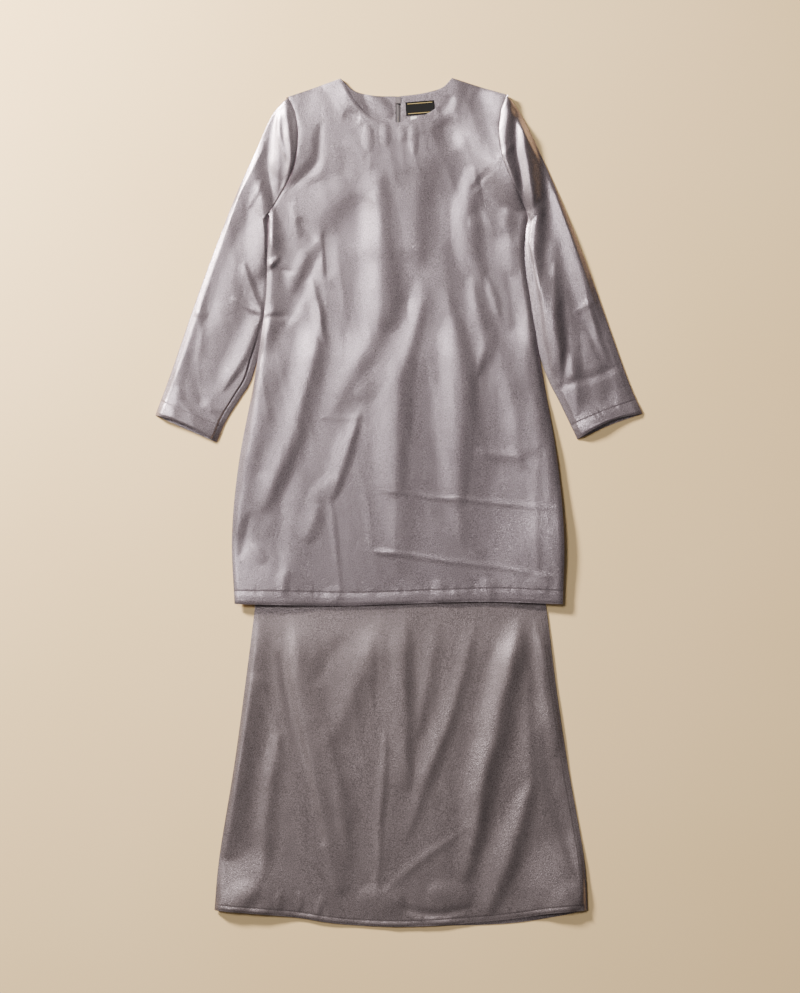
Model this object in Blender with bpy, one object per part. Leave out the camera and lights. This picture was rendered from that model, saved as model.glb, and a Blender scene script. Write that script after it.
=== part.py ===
"""A baju kurung laid flat, face up: a long-sleeved tunic over the upper part of its long skirt.

Sizes are in millimetres and become metres where the meshes are made. +X is the viewer's right,
+Y runs towards the neck and +Z is up from the surface that the clothes lie on.
"""
import math
from collections import namedtuple

import bmesh
import bpy
import numpy as np

MM = 0.001

# Cloth
WALL = 1.0
LAYER_GAP = 0.4
TUNIC_AIR = 0.9
SEAM_GAP = 0.3

# Tunic, down from the high shoulder point
SHOULDER_POINT_Y = 751.0
BODY_LENGTH = 930.0
CENTRE_BACK_X = -2.0
HEM_Y = SHOULDER_POINT_Y - BODY_LENGTH
TUNIC_HEM_TURN = 24.0
HEM_THICKENING = 0.5

# Skirt
WAIST_TOP_Y = 215.0
WAISTBAND_HEIGHT = 30.0
WAISTBAND_Y = WAIST_TOP_Y - WAISTBAND_HEIGHT
SKIRT_HEM_TURN = 10.0

# Zip at the centre back
ZIP_LENGTH = 225.0
ZIP_SLOT = 2.4
TAPE_WIDTH = 3.2
SLIDER_WIDTH = 9.0
SLIDER_LENGTH = 12.0
SLIDER_PLATE = 2.0
SLIDER_TOP_Y = 718.0
BRIDGE_WIDTH = 1.6
BRIDGE_BAR = 0.7
BRIDGE_LEG = 1.0
BRIDGE_INSIDE = 2.4
PULL_CLEARANCE = 0.3
PULL_WIDTH = 5.0
PULL_LENGTH = 28.0
PULL_THICKNESS = 0.9
PULL_BAR = 0.9
PULL_HOLE_LENGTH = 2.7
PULL_HOLE_WIDTH = 2.4
FLOOR_GAP = 0.2

# Label inside the back neck
LABEL_WIDTH = 51.0
LABEL_HEIGHT = 24.0
LABEL_WALL = 1.0
LABEL_CENTRE = (37.0, 698.0)
LABEL_TILT_DEG = 4.5
SIZE_TAB_WIDTH = 11.0
SIZE_TAB_HEIGHT = 16.0
SIZE_TAB_CENTRE = (26.0, 675.0)

# How far the tunic reaches to each side, at levels measured down from the high shoulder point
SideLevel = namedtuple("SideLevel", "drop left right")
TUNIC_SIDES = (
    SideLevel(930, 291, 289),
    SideLevel(811, 296, 291),
    SideLevel(681, 284, 280),
    SideLevel(525, 255, 254),
    SideLevel(395, 236, 232),
    SideLevel(310, 233, 221),
    SideLevel(241, 232, 228),
)
TUNIC_SHOULDER = {"left": (-196, 718), "right": (189, 721)}
HIGH_SHOULDER = {"left": (-103, 750), "right": (93, 751)}
TUNIC_ARMHOLE = {
    "left": ((-214, 537), (-187, 588), (-178, 644), (-183, 687)),
    "right": ((212, 541), (184, 602), (175, 655), (180, 694)),
}
FRONT_NECK = ((-88, 722), (-64, 692), (-35, 676), (0, 672), (40, 683), (68, 700), (84, 724))
BACK_NECK = {"left": ((-80, 729), (-45, 720)), "right": ((40, 724), (75, 734))}
BACK_NECK_Y = 719.0
TUNIC_HEM = ((-117, -182), (0, -179), (147, -175))

# Sleeves, from the shoulder or the underarm down to the cuff
SLEEVE_OUTER = {
    "left": ((-224, 687), (-255, 620), (-293, 535), (-352, 379), (-404, 230), (-432, 155)),
    "right": ((212, 693), (241, 637), (289, 529), (335, 414), (401, 228), (431, 158)),
}
SLEEVE_INNER = {
    "left": ((-240, 496), (-238, 440), (-240, 377), (-248, 289), (-261, 235), (-285, 180), (-323, 107)),
    "right": ((236, 496), (226, 455), (237, 362), (250, 278), (260, 236), (280, 185), (315, 112)),
}
CUFF_DROP = {"left": (-372, 128), "right": (372, 137)}
CAP_OUTER_SHARE = 0.32
CAP_INNER_SHARE = 0.05
BICEP_COLUMNS = (0.0, 0.09, 0.18, 0.27, 0.36, 0.45, 0.54, 0.63, 0.73, 1.0)
CUFF_HEM_TURN = 28.0
CUFF_PEEK = 6.0
CUFF_MOUTH = 2.4
SLEEVE_BELLY = 1.6

# How far the skirt reaches to each side, at levels measured up from the floor's middle line
SkirtLevel = namedtuple("SkirtLevel", "y left right")
SKIRT_SIDES = (
    SkirtLevel(-720, 327, 333),
    SkirtLevel(-624, 318, 326),
    SkirtLevel(-464, 292, 298),
    SkirtLevel(-324, 273, 277),
    SkirtLevel(-182, 255, 260),
    SkirtLevel(15, 232, 236),
    SkirtLevel(120, 203, 206),
    SkirtLevel(WAISTBAND_Y, 172, 175),
)
SKIRT_HEM = ((-196, -732), (-106, -745), (-20, -750), (64, -748), (188, -738), (275, -725))
SKIRT_BACK_HEM = ((-196, -732), (-106, -745), (-20, -750), (64, -749), (188, -745), (275, -733))

# Soft ridges of the cloth: the line they follow, their half width and their height
Fold = namedtuple("Fold", "path half_width height")
TUNIC_FOLDS = (
    Fold(((14, 393), (2, 350), (-16, 225)), 34, 3.5),
    Fold(((40, 390), (92, 240), (90, 20)), 36, 4.5),
    Fold(((-19, 200), (-21, 90), (-19, -60)), 34, 3.5),
    Fold(((130, 373), (143, 290), (138, 240)), 30, 3.0),
    Fold(((-51, 534), (-40, 350), (-95, 225)), 32, 3.0),
    Fold(((-80, 145), (-111, 50), (-168, -70)), 36, 4.5),
    Fold(((-173, 200), (-205, 122), (-234, 44)), 34, 4.0),
    Fold(((60, 690), (105, 640), (130, 560)), 46, 3.5),
    Fold(((105, 525), (110, 497), (175, 500)), 30, 3.0),
    Fold(((-150, 385), (-131, 306), (-120, 250)), 28, 3.0),
    Fold(((-225, 432), (-200, 428), (-175, 415)), 26, 3.0),
    Fold(((152, 102), (180, 95), (210, 98)), 26, 2.0),
    Fold(((-138, 640), (-160, 600), (-170, 555)), 28, 2.0),
    Fold(((-207, 700), (-200, 640), (-194, 570)), 26, 3.0),
    Fold(((-243, 568), (-244, 500), (-250, 430)), 30, 3.5),
    Fold(((-300, 430), (-345, 330), (-385, 225)), 30, 3.0),
    Fold(((-272, 410), (-255, 370), (-242, 335)), 24, 2.5),
    Fold(((214, 672), (228, 580), (236, 445)), 30, 5.0),
    Fold(((270, 543), (325, 400), (343, 315)), 34, 4.0),
    Fold(((283, 205), (340, 222), (388, 242)), 26, 3.0),
    Fold(((190, 700), (196, 650), (200, 590)), 24, 2.5),
)
SKIRT_FOLDS = (
    Fold(((208, -215), (156, -390), (96, -630)), 36, 8.0),
    Fold(((213, -529), (176, -640), (148, -715)), 32, 6.0),
    Fold(((-229, -215), (-178, -390), (-128, -610)), 34, 6.0),
    Fold(((-53, -234), (-85, -315), (-128, -395)), 30, 4.0),
    Fold(((2, -215), (4, -340), (3, -475)), 30, 3.0),
    Fold(((-39, -402), (-38, -540), (-39, -680)), 28, 3.0),
    Fold(((124, -241), (55, -465), (20, -570)), 28, 3.0),
    Fold(((94, -584), (35, -640), (-10, -672)), 26, 3.0),
    Fold(((-30, -690), (30, -698), (75, -690)), 26, 3.0),
)

# Places where an edge stands clear of what it lies on: middle, reach and height
Rise = namedtuple("Rise", "centre reach height")
TUNIC_RISES = (
    Rise((300, -60), 120, 9.0),
    Rise((255, 110), 90, 4.0),
    Rise((-250, -185), 120, 6.0),
)
SKIRT_RISES = (
    Rise((325, -700), 130, 7.0),
    Rise((-270, -715), 110, 8.0),
    Rise((300, -400), 90, 3.0),
)

# What lifts the tunic off the floor: the skirt below it, and the zip's pull tab at the neck
SKIRT_TOP = 2 * WALL + LAYER_GAP
OVER_SKIRT = SKIRT_TOP + 2 * LAYER_GAP
SKIRT_LIFT_START = 36.0
SKIRT_LIFT_END = 100.0
UNDER_ZIP = FLOOR_GAP + BRIDGE_BAR + PULL_THICKNESS + 2 * PULL_CLEARANCE
NECK_CENTRE = (CENTRE_BACK_X, 690.0)
NECK_PLATEAU = 84.0
NECK_REACH = 185.0
OVER_LABEL = WALL + LABEL_WALL + 3 * SEAM_GAP
OVER_TAPE = WALL + 2 * SEAM_GAP

# Grid counts
SHOULDER_COLUMNS = 4
HALF_NECK_COLUMNS = 8
ARMHOLE_ROWS = 9
SIDE_ROWS = 21
CAP_ROWS = 5
ARM_ROWS = 11
SKIRT_COLUMNS = 18
SKIRT_BACK_COLUMNS = 8

MATERIALS = {
    "tunic_satin": ((0.305, 0.266, 0.287), 0.42, 0.0),
    "skirt_satin": ((0.188, 0.156, 0.162), 0.45, 0.0),
    "zip_tape": ((0.10, 0.09, 0.10), 0.70, 0.0),
    "zip_metal": ((0.62, 0.62, 0.60), 0.30, 1.0),
    "label": ((0.012, 0.012, 0.014), 0.60, 0.0),
    "size_tab": ((0.80, 0.79, 0.76), 0.70, 0.0),
}


def clear_scene():
    """Removes every object that the scene starts with."""
    for item in list(bpy.data.objects):
        bpy.data.objects.remove(item, do_unlink=True)


def material(name):
    """Principled material with the colour, roughness and metallic value of its name."""
    known = bpy.data.materials.get(name)
    if known:
        return known
    colour, roughness, metallic = MATERIALS[name]
    made = bpy.data.materials.new(name)
    made.use_nodes = True
    shader = made.node_tree.nodes["Principled BSDF"]
    shader.inputs["Base Color"].default_value = (*colour, 1.0)
    shader.inputs["Roughness"].default_value = roughness
    shader.inputs["Metallic"].default_value = metallic
    return made


def smoothstep(low, high, value):
    """Rises softly from 0 at low to 1 at high."""
    share = np.clip((value - low) / (high - low), 0.0, 1.0)
    return share * share * (3.0 - 2.0 * share)


def smooth_line(points, steps=16):
    """Many points along a smooth curve through the given ones."""
    given = np.array(points, dtype=float)
    padded = np.vstack([2 * given[0] - given[1], given, 2 * given[-1] - given[-2]])
    share = (np.arange(steps) / steps)[:, None]
    spans = []
    for before, start, end, after in zip(padded, padded[1:], padded[2:], padded[3:]):
        linear = (end - before) * share
        square = (2 * before - 5 * start + 4 * end - after) * share**2
        cube = (3 * start - before - 3 * end + after) * share**3
        spans.append(start + 0.5 * (linear + square + cube))
    return np.vstack(spans + [given[-1:]])


def evenly(line, shares):
    """Points of a line at the given shares of its length."""
    steps = np.linalg.norm(np.diff(line, axis=0), axis=1)
    travelled = np.concatenate([[0.0], np.cumsum(steps)])
    places = np.asarray(shares) * travelled[-1]
    return np.column_stack([np.interp(places, travelled, line[:, axis]) for axis in (0, 1)])


def edge(points, cells):
    """A smooth edge through the points, cut into equal cells."""
    return evenly(smooth_line(points), np.linspace(0.0, 1.0, cells + 1))


def joined(*edges):
    """One edge from several that follow each other and share their ends."""
    return np.vstack([edges[0]] + [following[1:] for following in edges[1:]])


def patch(bottom, top, left, right, rows=None):
    """Plan grid, by row and column, filled in between four edges that share their corners."""
    across = np.linspace(0.0, 1.0, len(bottom))[None, :, None]
    up = np.linspace(0.0, 1.0, len(left)) if rows is None else np.asarray(rows)
    up = up[:, None, None]
    low_corners = (1 - across) * bottom[0] + across * bottom[-1]
    high_corners = (1 - across) * top[0] + across * top[-1]
    between_rows = (1 - up) * bottom[None] + up * top[None]
    between_columns = (1 - across) * left[:, None] + across * right[:, None]
    return between_rows + between_columns - (1 - up) * low_corners - up * high_corners


def fold_height(folds, x, y):
    """Sum of the ridges at each place; a ridge fades out over its outer fifths."""
    total = np.zeros_like(x)
    for fold in folds:
        line = smooth_line(fold.path, 8)
        best = np.full_like(x, np.inf)
        along = np.zeros_like(x)
        for index, (start, end) in enumerate(zip(line, line[1:])):
            run = end - start
            share = ((x - start[0]) * run[0] + (y - start[1]) * run[1]) / (run @ run)
            share = np.clip(share, 0.0, 1.0)
            distance = np.hypot(x - start[0] - share * run[0], y - start[1] - share * run[1])
            nearer = distance < best
            best = np.where(nearer, distance, best)
            along = np.where(nearer, (index + share) / (len(line) - 1), along)
        round_top = np.clip(1.0 - (best / fold.half_width) ** 2, 0.0, 1.0) ** 2
        ends = smoothstep(0.0, 0.2, along) * smoothstep(0.0, 0.2, 1.0 - along)
        total += fold.height * round_top * ends
    return total


def rise_height(rises, x, y):
    """Sum of the soft rises at each place."""
    total = np.zeros_like(x)
    for rise in rises:
        distance = np.hypot(x - rise.centre[0], y - rise.centre[1])
        total += rise.height * (1.0 - smoothstep(0.15 * rise.reach, rise.reach, distance))
    return total


def skirt_half_widths(y):
    """How far the skirt reaches left and right at each height."""
    levels = np.array([level.y for level in SKIRT_SIDES], dtype=float)
    left = np.interp(y, levels, [level.left for level in SKIRT_SIDES])
    right = np.interp(y, levels, [level.right for level in SKIRT_SIDES])
    return left, right


def neck_zone(x, y):
    """1 round the neck, falling to 0 further out."""
    distance = np.hypot(x - NECK_CENTRE[0], y - NECK_CENTRE[1])
    return 1.0 - smoothstep(NECK_PLATEAU, NECK_REACH, distance)


def tunic_lift(x, y):
    """Height of the tunic's underside over the floor."""
    left, right = skirt_half_widths(y)
    beside = np.maximum(np.maximum(-x - left, x - right), 0.0)
    above = np.maximum(y - WAIST_TOP_Y, 0.0)
    outside = np.hypot(beside, above)
    over_skirt = OVER_SKIRT * (1.0 - smoothstep(SKIRT_LIFT_START, SKIRT_LIFT_END, outside))
    return over_skirt + UNDER_ZIP * neck_zone(x, y) + rise_height(TUNIC_RISES, x, y)


def back_top(x, y):
    """Upper face of the tunic's back panels, which is the inside of the garment."""
    return tunic_lift(x, y) + WALL


def front_bottom(x, y):
    """Lower face of the tunic's front panel."""
    off_centre = np.abs(x - CENTRE_BACK_X)
    zip_end = SLIDER_TOP_Y - ZIP_LENGTH
    over_zip = (1.0 - smoothstep(28.0, 75.0, off_centre)) * smoothstep(zip_end - 75.0, zip_end - 38.0, y)
    over_label = OVER_LABEL * neck_zone(x, y)
    air = LAYER_GAP + np.maximum(over_label, OVER_TAPE * over_zip)
    return back_top(x, y) + air + fold_height(TUNIC_FOLDS, x, y)


def mesh_object(name, vertices, faces, material_name):
    """Object with the given mesh, whose faces are turned to point outwards."""
    mesh = bpy.data.meshes.new(name)
    mesh.from_pydata([tuple(MM * value for value in vertex) for vertex in vertices], [], faces)
    shape = bmesh.new()
    shape.from_mesh(mesh)
    bmesh.ops.recalc_face_normals(shape, faces=shape.faces)
    shape.to_mesh(mesh)
    shape.free()
    mesh.materials.append(material(material_name))
    made = bpy.data.objects.new(name, mesh)
    bpy.context.scene.collection.objects.link(made)
    return made


def wall_on_grid(name, plan, bottom, top, material_name):
    """Closed wall over a plan grid, between the heights of its lower and its upper face."""
    rows, columns = plan.shape[:2]
    flat = plan.reshape(-1, 2)
    lower = np.column_stack([flat, bottom.reshape(-1)])
    upper = np.column_stack([flat, top.reshape(-1)])
    count = rows * columns

    def at(row, column, layer=0):
        return layer * count + row * columns + column

    faces = []
    for row in range(rows - 1):
        for column in range(columns - 1):
            corners = ((row, column), (row, column + 1), (row + 1, column + 1), (row + 1, column))
            faces.append([at(*corner, 1) for corner in corners])
            faces.append([at(*corner) for corner in reversed(corners)])
    rim = [(0, column) for column in range(columns)]
    rim += [(row, columns - 1) for row in range(1, rows)]
    rim += [(rows - 1, column) for column in range(columns - 2, -1, -1)]
    rim += [(row, 0) for row in range(rows - 2, 0, -1)]
    for here, there in zip(rim, rim[1:] + rim[:1]):
        faces.append([at(*here), at(*there), at(*there, 1), at(*here, 1)])
    return mesh_object(name, np.vstack([lower, upper]), faces, material_name)


def tunic_side(side):
    """Side seam of the tunic on one side, from the hem up to the underarm."""
    sign = -1.0 if side == "left" else 1.0
    points = [(sign * getattr(level, side), SHOULDER_POINT_Y - level.drop) for level in TUNIC_SIDES]
    return smooth_line(points)


def hem_shares(length, turn, cells):
    """Row places from the hem up: two rows mark the hem's stitch line, the rest are even."""
    stitch = turn / length
    above = (turn + 4.0) / length
    return np.concatenate([[0.0, stitch], np.linspace(above, 1.0, cells)])


def tunic_edge(side):
    """Side seam and armhole of the tunic on one side, cut into rows."""
    seam = evenly(tunic_side(side), hem_shares(BODY_LENGTH * 0.74, TUNIC_HEM_TURN, SIDE_ROWS))
    armhole_points = (tuple(seam[-1]),) + TUNIC_ARMHOLE[side] + (TUNIC_SHOULDER[side],)
    return joined(seam, edge(armhole_points, ARMHOLE_ROWS))


def length_shares(edge_line):
    """Share of an edge's length at which each of its points lies."""
    steps = np.linalg.norm(np.diff(edge_line, axis=0), axis=1)
    travelled = np.concatenate([[0.0], np.cumsum(steps)])
    return travelled / travelled[-1]


def shoulder_edge(side, inwards):
    """Shoulder seam, from the tip to the neck or back."""
    line = edge((TUNIC_SHOULDER[side], HIGH_SHOULDER[side]), SHOULDER_COLUMNS)
    return line if inwards else line[::-1]


def tunic_hem_line(left_corner, right_corner, cells):
    """Lower edge of the tunic between its two corners."""
    return edge((tuple(left_corner),) + TUNIC_HEM + (tuple(right_corner),), cells)


def hem_thickness(rows, columns):
    """Extra height of a turned-up hem, over the two lowest rows."""
    extra = np.zeros((rows, columns))
    extra[:2] = HEM_THICKENING
    return extra


def inner_air(rows, columns):
    """Air between front and back, which closes at the side, armhole and shoulder seams."""
    column = np.arange(columns)
    from_side = np.minimum(column, column[::-1])[None, :]
    from_shoulder = np.arange(rows)[::-1][:, None]
    return TUNIC_AIR * np.clip(np.minimum(from_side, from_shoulder) / 2.0, 0.0, 1.0)


def make_tunic_front():
    """Front panel of the tunic, with the scooped neckline."""
    left = tunic_edge("left")
    right = tunic_edge("right")
    neck_points = (HIGH_SHOULDER["left"],) + FRONT_NECK + (HIGH_SHOULDER["right"],)
    neck = edge(neck_points, 2 * HALF_NECK_COLUMNS)
    top = joined(shoulder_edge("left", True), neck, shoulder_edge("right", False))
    hem = tunic_hem_line(left[0], right[0], len(top) - 1)
    plan = patch(hem, top, left, right, length_shares(left))
    bottom = front_bottom(plan[..., 0], plan[..., 1]) + inner_air(*plan.shape[:2])
    upper = bottom + WALL + hem_thickness(*bottom.shape)
    wall_on_grid("tunic_front", plan, bottom, upper, "tunic_satin")


def centre_back_line(side, hem_y, rows):
    """Centre-back edge of one back panel: a seam below, a slot for the zip above."""
    sign = -1.0 if side == "left" else 1.0
    y = hem_y + (BACK_NECK_Y - hem_y) * rows
    in_slot = y > SLIDER_TOP_Y - ZIP_LENGTH
    clear = np.where(in_slot, ZIP_SLOT / 2, SEAM_GAP / 2)
    return np.column_stack([CENTRE_BACK_X + sign * clear, y])


def back_plan(side):
    """Plan grid of one back panel, from the outer edge (first column) to the centre back."""
    outer = tunic_edge(side)
    rows = length_shares(outer)
    hem_corners = tunic_edge("left")[0], tunic_edge("right")[0]
    whole_hem = smooth_line((tuple(hem_corners[0]),) + TUNIC_HEM + (tuple(hem_corners[1]),))
    hem_y = float(np.interp(CENTRE_BACK_X, whole_hem[:, 0], whole_hem[:, 1]))
    centre = centre_back_line(side, hem_y, rows)
    neck_points = [HIGH_SHOULDER[side], *BACK_NECK[side], tuple(centre[-1])]
    if side == "right":
        neck_points = [HIGH_SHOULDER[side], *BACK_NECK[side][::-1], tuple(centre[-1])]
    top = joined(shoulder_edge(side, True), edge(neck_points, HALF_NECK_COLUMNS))
    reach = np.linspace(outer[0][0], centre[0][0], len(top))
    hem = np.column_stack([reach, np.interp(reach, whole_hem[:, 0], whole_hem[:, 1])])
    return patch(hem, top, outer, centre, rows)


def make_back(side):
    """One back panel of the tunic and, on its inside, half of the back neck facing."""
    plan = back_plan(side)
    bottom = tunic_lift(plan[..., 0], plan[..., 1])
    wall_on_grid(f"tunic_back_{side}", plan, bottom, bottom + WALL, "tunic_satin")
    facing = plan[-3:, SHOULDER_COLUMNS:].copy()
    sign = -1.0 if side == "left" else 1.0
    facing[:, -1, 0] = CENTRE_BACK_X + sign * (ZIP_SLOT / 2 + TAPE_WIDTH + SEAM_GAP)
    seat = back_top(facing[..., 0], facing[..., 1]) + SEAM_GAP
    wall_on_grid(f"back_facing_{side}", facing, seat, seat + WALL, "tunic_satin")


def make_zip_tape(side):
    """Tape with its coil along one side of the zip, inside the back."""
    sign = -1.0 if side == "left" else 1.0
    inner = CENTRE_BACK_X + sign * ZIP_SLOT / 2
    y = np.linspace(SLIDER_TOP_Y - ZIP_LENGTH, SLIDER_TOP_Y - SEAM_GAP, 10)
    plan = np.stack([np.column_stack([np.full_like(y, inner + sign * reach), y])
                     for reach in (0.0, TAPE_WIDTH)], axis=1)
    seat = back_top(plan[..., 0], plan[..., 1]) + SEAM_GAP
    wall_on_grid(f"zip_tape_{side}", plan, seat, seat + WALL, "zip_tape")


def box(name, low, high, material_name):
    """Plain box between two corners."""
    x = (low[0], high[0])
    y = (low[1], high[1])
    z = (low[2], high[2])
    corners = [(x[i], y[j], z[k]) for k in (0, 1) for j in (0, 1) for i in (0, 1)]
    faces = [(0, 1, 3, 2), (4, 6, 7, 5), (0, 4, 5, 1), (2, 3, 7, 6), (0, 2, 6, 4), (1, 5, 7, 3)]
    return mesh_object(name, corners, faces, material_name)


def combine(target, other, operation):
    """Joins or cuts one object with another, which is then removed."""
    step = target.modifiers.new("combine", "BOOLEAN")
    step.operation = operation
    step.solver = "EXACT"
    step.object = other
    depsgraph = bpy.context.evaluated_depsgraph_get()
    result = bpy.data.meshes.new_from_object(target.evaluated_get(depsgraph))
    target.modifiers.clear()
    target.data = result
    bpy.data.objects.remove(other, do_unlink=True)


def pull_axis():
    """Height and place of the axis on which the pull tab hangs in the slider's bridge."""
    z = FLOOR_GAP + BRIDGE_BAR + PULL_CLEARANCE + PULL_THICKNESS / 2
    y = SLIDER_TOP_Y - SLIDER_LENGTH / 2
    return y, z


def make_slider():
    """Zip slider: a plate inside the garment, and through the slot a bridge for the pull tab."""
    axis_y, axis_z = pull_axis()
    plate_bottom = UNDER_ZIP + 2 * WALL + 2 * SEAM_GAP
    half = SLIDER_WIDTH / 2
    slider = box(
        "zip_slider",
        (CENTRE_BACK_X - half, SLIDER_TOP_Y - SLIDER_LENGTH, plate_bottom),
        (CENTRE_BACK_X + half, SLIDER_TOP_Y, plate_bottom + SLIDER_PLATE),
        "zip_metal",
    )
    web = BRIDGE_WIDTH / 2
    reach = BRIDGE_INSIDE / 2 + BRIDGE_LEG
    stem = box(
        "stem",
        (CENTRE_BACK_X - web, axis_y - reach, FLOOR_GAP),
        (CENTRE_BACK_X + web, axis_y + reach, plate_bottom + SLIDER_PLATE / 2),
        "zip_metal",
    )
    combine(slider, stem, "UNION")
    window = box(
        "window",
        (CENTRE_BACK_X - half, axis_y - BRIDGE_INSIDE / 2, FLOOR_GAP + BRIDGE_BAR),
        (CENTRE_BACK_X + half, axis_y + BRIDGE_INSIDE / 2, axis_z + PULL_BAR / 2 + PULL_CLEARANCE),
        "zip_metal",
    )
    combine(slider, window, "DIFFERENCE")


def make_pull_tab():
    """Pull tab on the outside of the back, folded down along the zip, on its own axis."""
    axis_y, axis_z = pull_axis()
    low = axis_y + PULL_BAR / 2 - PULL_LENGTH
    half = PULL_WIDTH / 2
    tab = box(
        "zip_pull_tab",
        (CENTRE_BACK_X - half, low, axis_z - PULL_THICKNESS / 2),
        (CENTRE_BACK_X + half, axis_y + PULL_BAR / 2, axis_z + PULL_THICKNESS / 2),
        "zip_metal",
    )
    hole = box(
        "hole",
        (CENTRE_BACK_X - PULL_HOLE_WIDTH / 2, axis_y - PULL_BAR / 2 - PULL_HOLE_LENGTH, 0.0),
        (CENTRE_BACK_X + PULL_HOLE_WIDTH / 2, axis_y - PULL_BAR / 2, axis_z + PULL_WIDTH),
        "zip_metal",
    )
    combine(tab, hole, "DIFFERENCE")
    origin = bpy.data.objects.new("pull_axis", None)
    bpy.context.scene.collection.objects.link(origin)
    origin.location = (CENTRE_BACK_X * MM, axis_y * MM, axis_z * MM)
    for vertex in tab.data.vertices:
        vertex.co = vertex.co - origin.location
    tab.parent = origin


def flat_patch(centre, width, height, tilt, columns, rows):
    """Plan grid of a small turned rectangle."""
    across, up = np.meshgrid(np.linspace(-0.5, 0.5, columns) * width, np.linspace(-0.5, 0.5, rows) * height)
    turn = math.radians(tilt)
    x = centre[0] + across * math.cos(turn) - up * math.sin(turn)
    y = centre[1] + across * math.sin(turn) + up * math.cos(turn)
    return np.stack([x, y], axis=-1)


def make_label():
    """Woven label on the facing and the bare size tab that hangs below it."""
    plan = flat_patch(LABEL_CENTRE, LABEL_WIDTH, LABEL_HEIGHT, LABEL_TILT_DEG, 4, 3)
    facing_top = back_top(plan[..., 0], plan[..., 1]) + SEAM_GAP + WALL
    seat = facing_top + SEAM_GAP
    wall_on_grid("label", plan, seat, seat + LABEL_WALL, "label")
    plan = flat_patch(SIZE_TAB_CENTRE, SIZE_TAB_WIDTH, SIZE_TAB_HEIGHT, LABEL_TILT_DEG, 2, 3)
    seat = back_top(plan[..., 0], plan[..., 1]) + 2 * SEAM_GAP + WALL
    wall_on_grid("size_tab", plan, seat, seat + LABEL_WALL, "size_tab")


def line_length(line):
    """Length of a line of points."""
    return float(np.linalg.norm(np.diff(line, axis=0), axis=1).sum())


def arm_shares(start, length):
    """Row places from the bicep line to the cuff; the last two rows are the cuff's hem."""
    above_hem = 1.0 - (CUFF_HEM_TURN + 4.0) / length
    stitch = 1.0 - CUFF_HEM_TURN / length
    return np.concatenate([np.linspace(start, above_hem, ARM_ROWS), [stitch, 1.0]])


def sleeve_plan(side):
    """Plan grid of one sleeve, row by row from armhole to cuff, from its outer to its inner edge."""
    sign = -1.0 if side == "left" else 1.0
    armhole = tunic_edge(side)[-ARMHOLE_ROWS - 1:][::-1].copy()
    armhole[:, 0] += sign * 2 * SEAM_GAP
    outer = smooth_line((tuple(armhole[0]),) + SLEEVE_OUTER[side])
    inner = smooth_line((tuple(armhole[-1]),) + SLEEVE_INNER[side])
    outer_cap = evenly(outer, np.linspace(0.0, CAP_OUTER_SHARE, CAP_ROWS + 1))
    inner_cap = evenly(inner, np.linspace(0.0, CAP_INNER_SHARE, CAP_ROWS + 1))
    outer_arm = evenly(outer, arm_shares(CAP_OUTER_SHARE, line_length(outer)))
    inner_arm = evenly(inner, arm_shares(CAP_INNER_SHARE, line_length(inner)))
    bicep = evenly(np.array([outer_cap[-1], inner_cap[-1]]), BICEP_COLUMNS)
    cuff = edge((tuple(outer[-1]), CUFF_DROP[side], tuple(inner[-1])), ARMHOLE_ROWS)
    cap = patch(armhole, bicep, outer_cap, inner_cap)
    arm = patch(bicep, cuff, outer_arm, inner_arm)
    return np.concatenate([cap, arm[1:]])


def read_across(plan_row, places):
    """Points between the columns of one plan row."""
    columns = np.linspace(0.0, 1.0, len(plan_row))
    return np.column_stack([np.interp(places, columns, plan_row[:, axis]) for axis in (0, 1)])


def sleeve_ring(plan_row, down, hem, inward):
    """One closed ring of the flattened sleeve, moved in from its outer face by the given wall.

    down is the share of the way to the cuff, and hem is what a turned-up hem adds on top.
    """
    width = np.linalg.norm(plan_row[-1] - plan_row[0])
    columns = np.linspace(0.0, 1.0, len(plan_row))[1:-1]
    rim = inward / width
    shoulder = (inward + 1.2) / width
    across = np.concatenate([[shoulder], columns, [1.0 - shoulder]])
    plan_top = read_across(plan_row, across)
    belly = smoothstep(0.0, 0.25, down) * SLEEVE_BELLY * np.sin(math.pi * across)
    mouth = smoothstep(0.8, 1.0, down) * CUFF_MOUTH * np.sin(math.pi * across) ** 0.5
    folds = fold_height(TUNIC_FOLDS, plan_top[:, 0], plan_top[:, 1])
    top = 2 * WALL + LAYER_GAP + belly + mouth + folds - inward
    if inward == 0.0:
        top += hem
    lower = plan_top.copy()
    plan_top[:, 1] += CUFF_PEEK * smoothstep(0.96, 1.0, down) * np.sin(math.pi * across)
    middle = WALL + LAYER_GAP / 2
    ends = np.column_stack([read_across(plan_row, [rim, 1.0 - rim]), [middle, middle]])
    upper = np.column_stack([plan_top, top])
    under = np.column_stack([lower, np.full(len(lower), inward)])
    return np.vstack([ends[:1], upper, ends[1:], under[::-1]])


def make_sleeve(side):
    """One sleeve: a flattened tube, open at the armhole and at the cuff."""
    plan = sleeve_plan(side)
    downs = length_shares(plan[:, 0])
    hems = np.zeros(len(plan))
    hems[-2:] = HEM_THICKENING
    outside = [sleeve_ring(*place, 0.0) for place in zip(plan, downs, hems)]
    inside = [sleeve_ring(*place, WALL) for place in zip(plan, downs, hems)]
    size = len(outside[0])
    rings = outside + inside[::-1]
    faces = []
    for ring in range(len(rings)):
        here = ring * size
        there = (ring + 1) % len(rings) * size
        for step in range(size):
            following = (step + 1) % size
            faces.append([here + step, here + following, there + following, there + step])
    mesh_object(f"sleeve_{side}", np.vstack(rings), faces, "tunic_satin")


def skirt_side(side):
    """Side seam of the skirt on one side, from the hem up to the waistband."""
    sign = -1.0 if side == "left" else 1.0
    return smooth_line([(sign * getattr(level, side), level.y) for level in SKIRT_SIDES])


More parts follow.
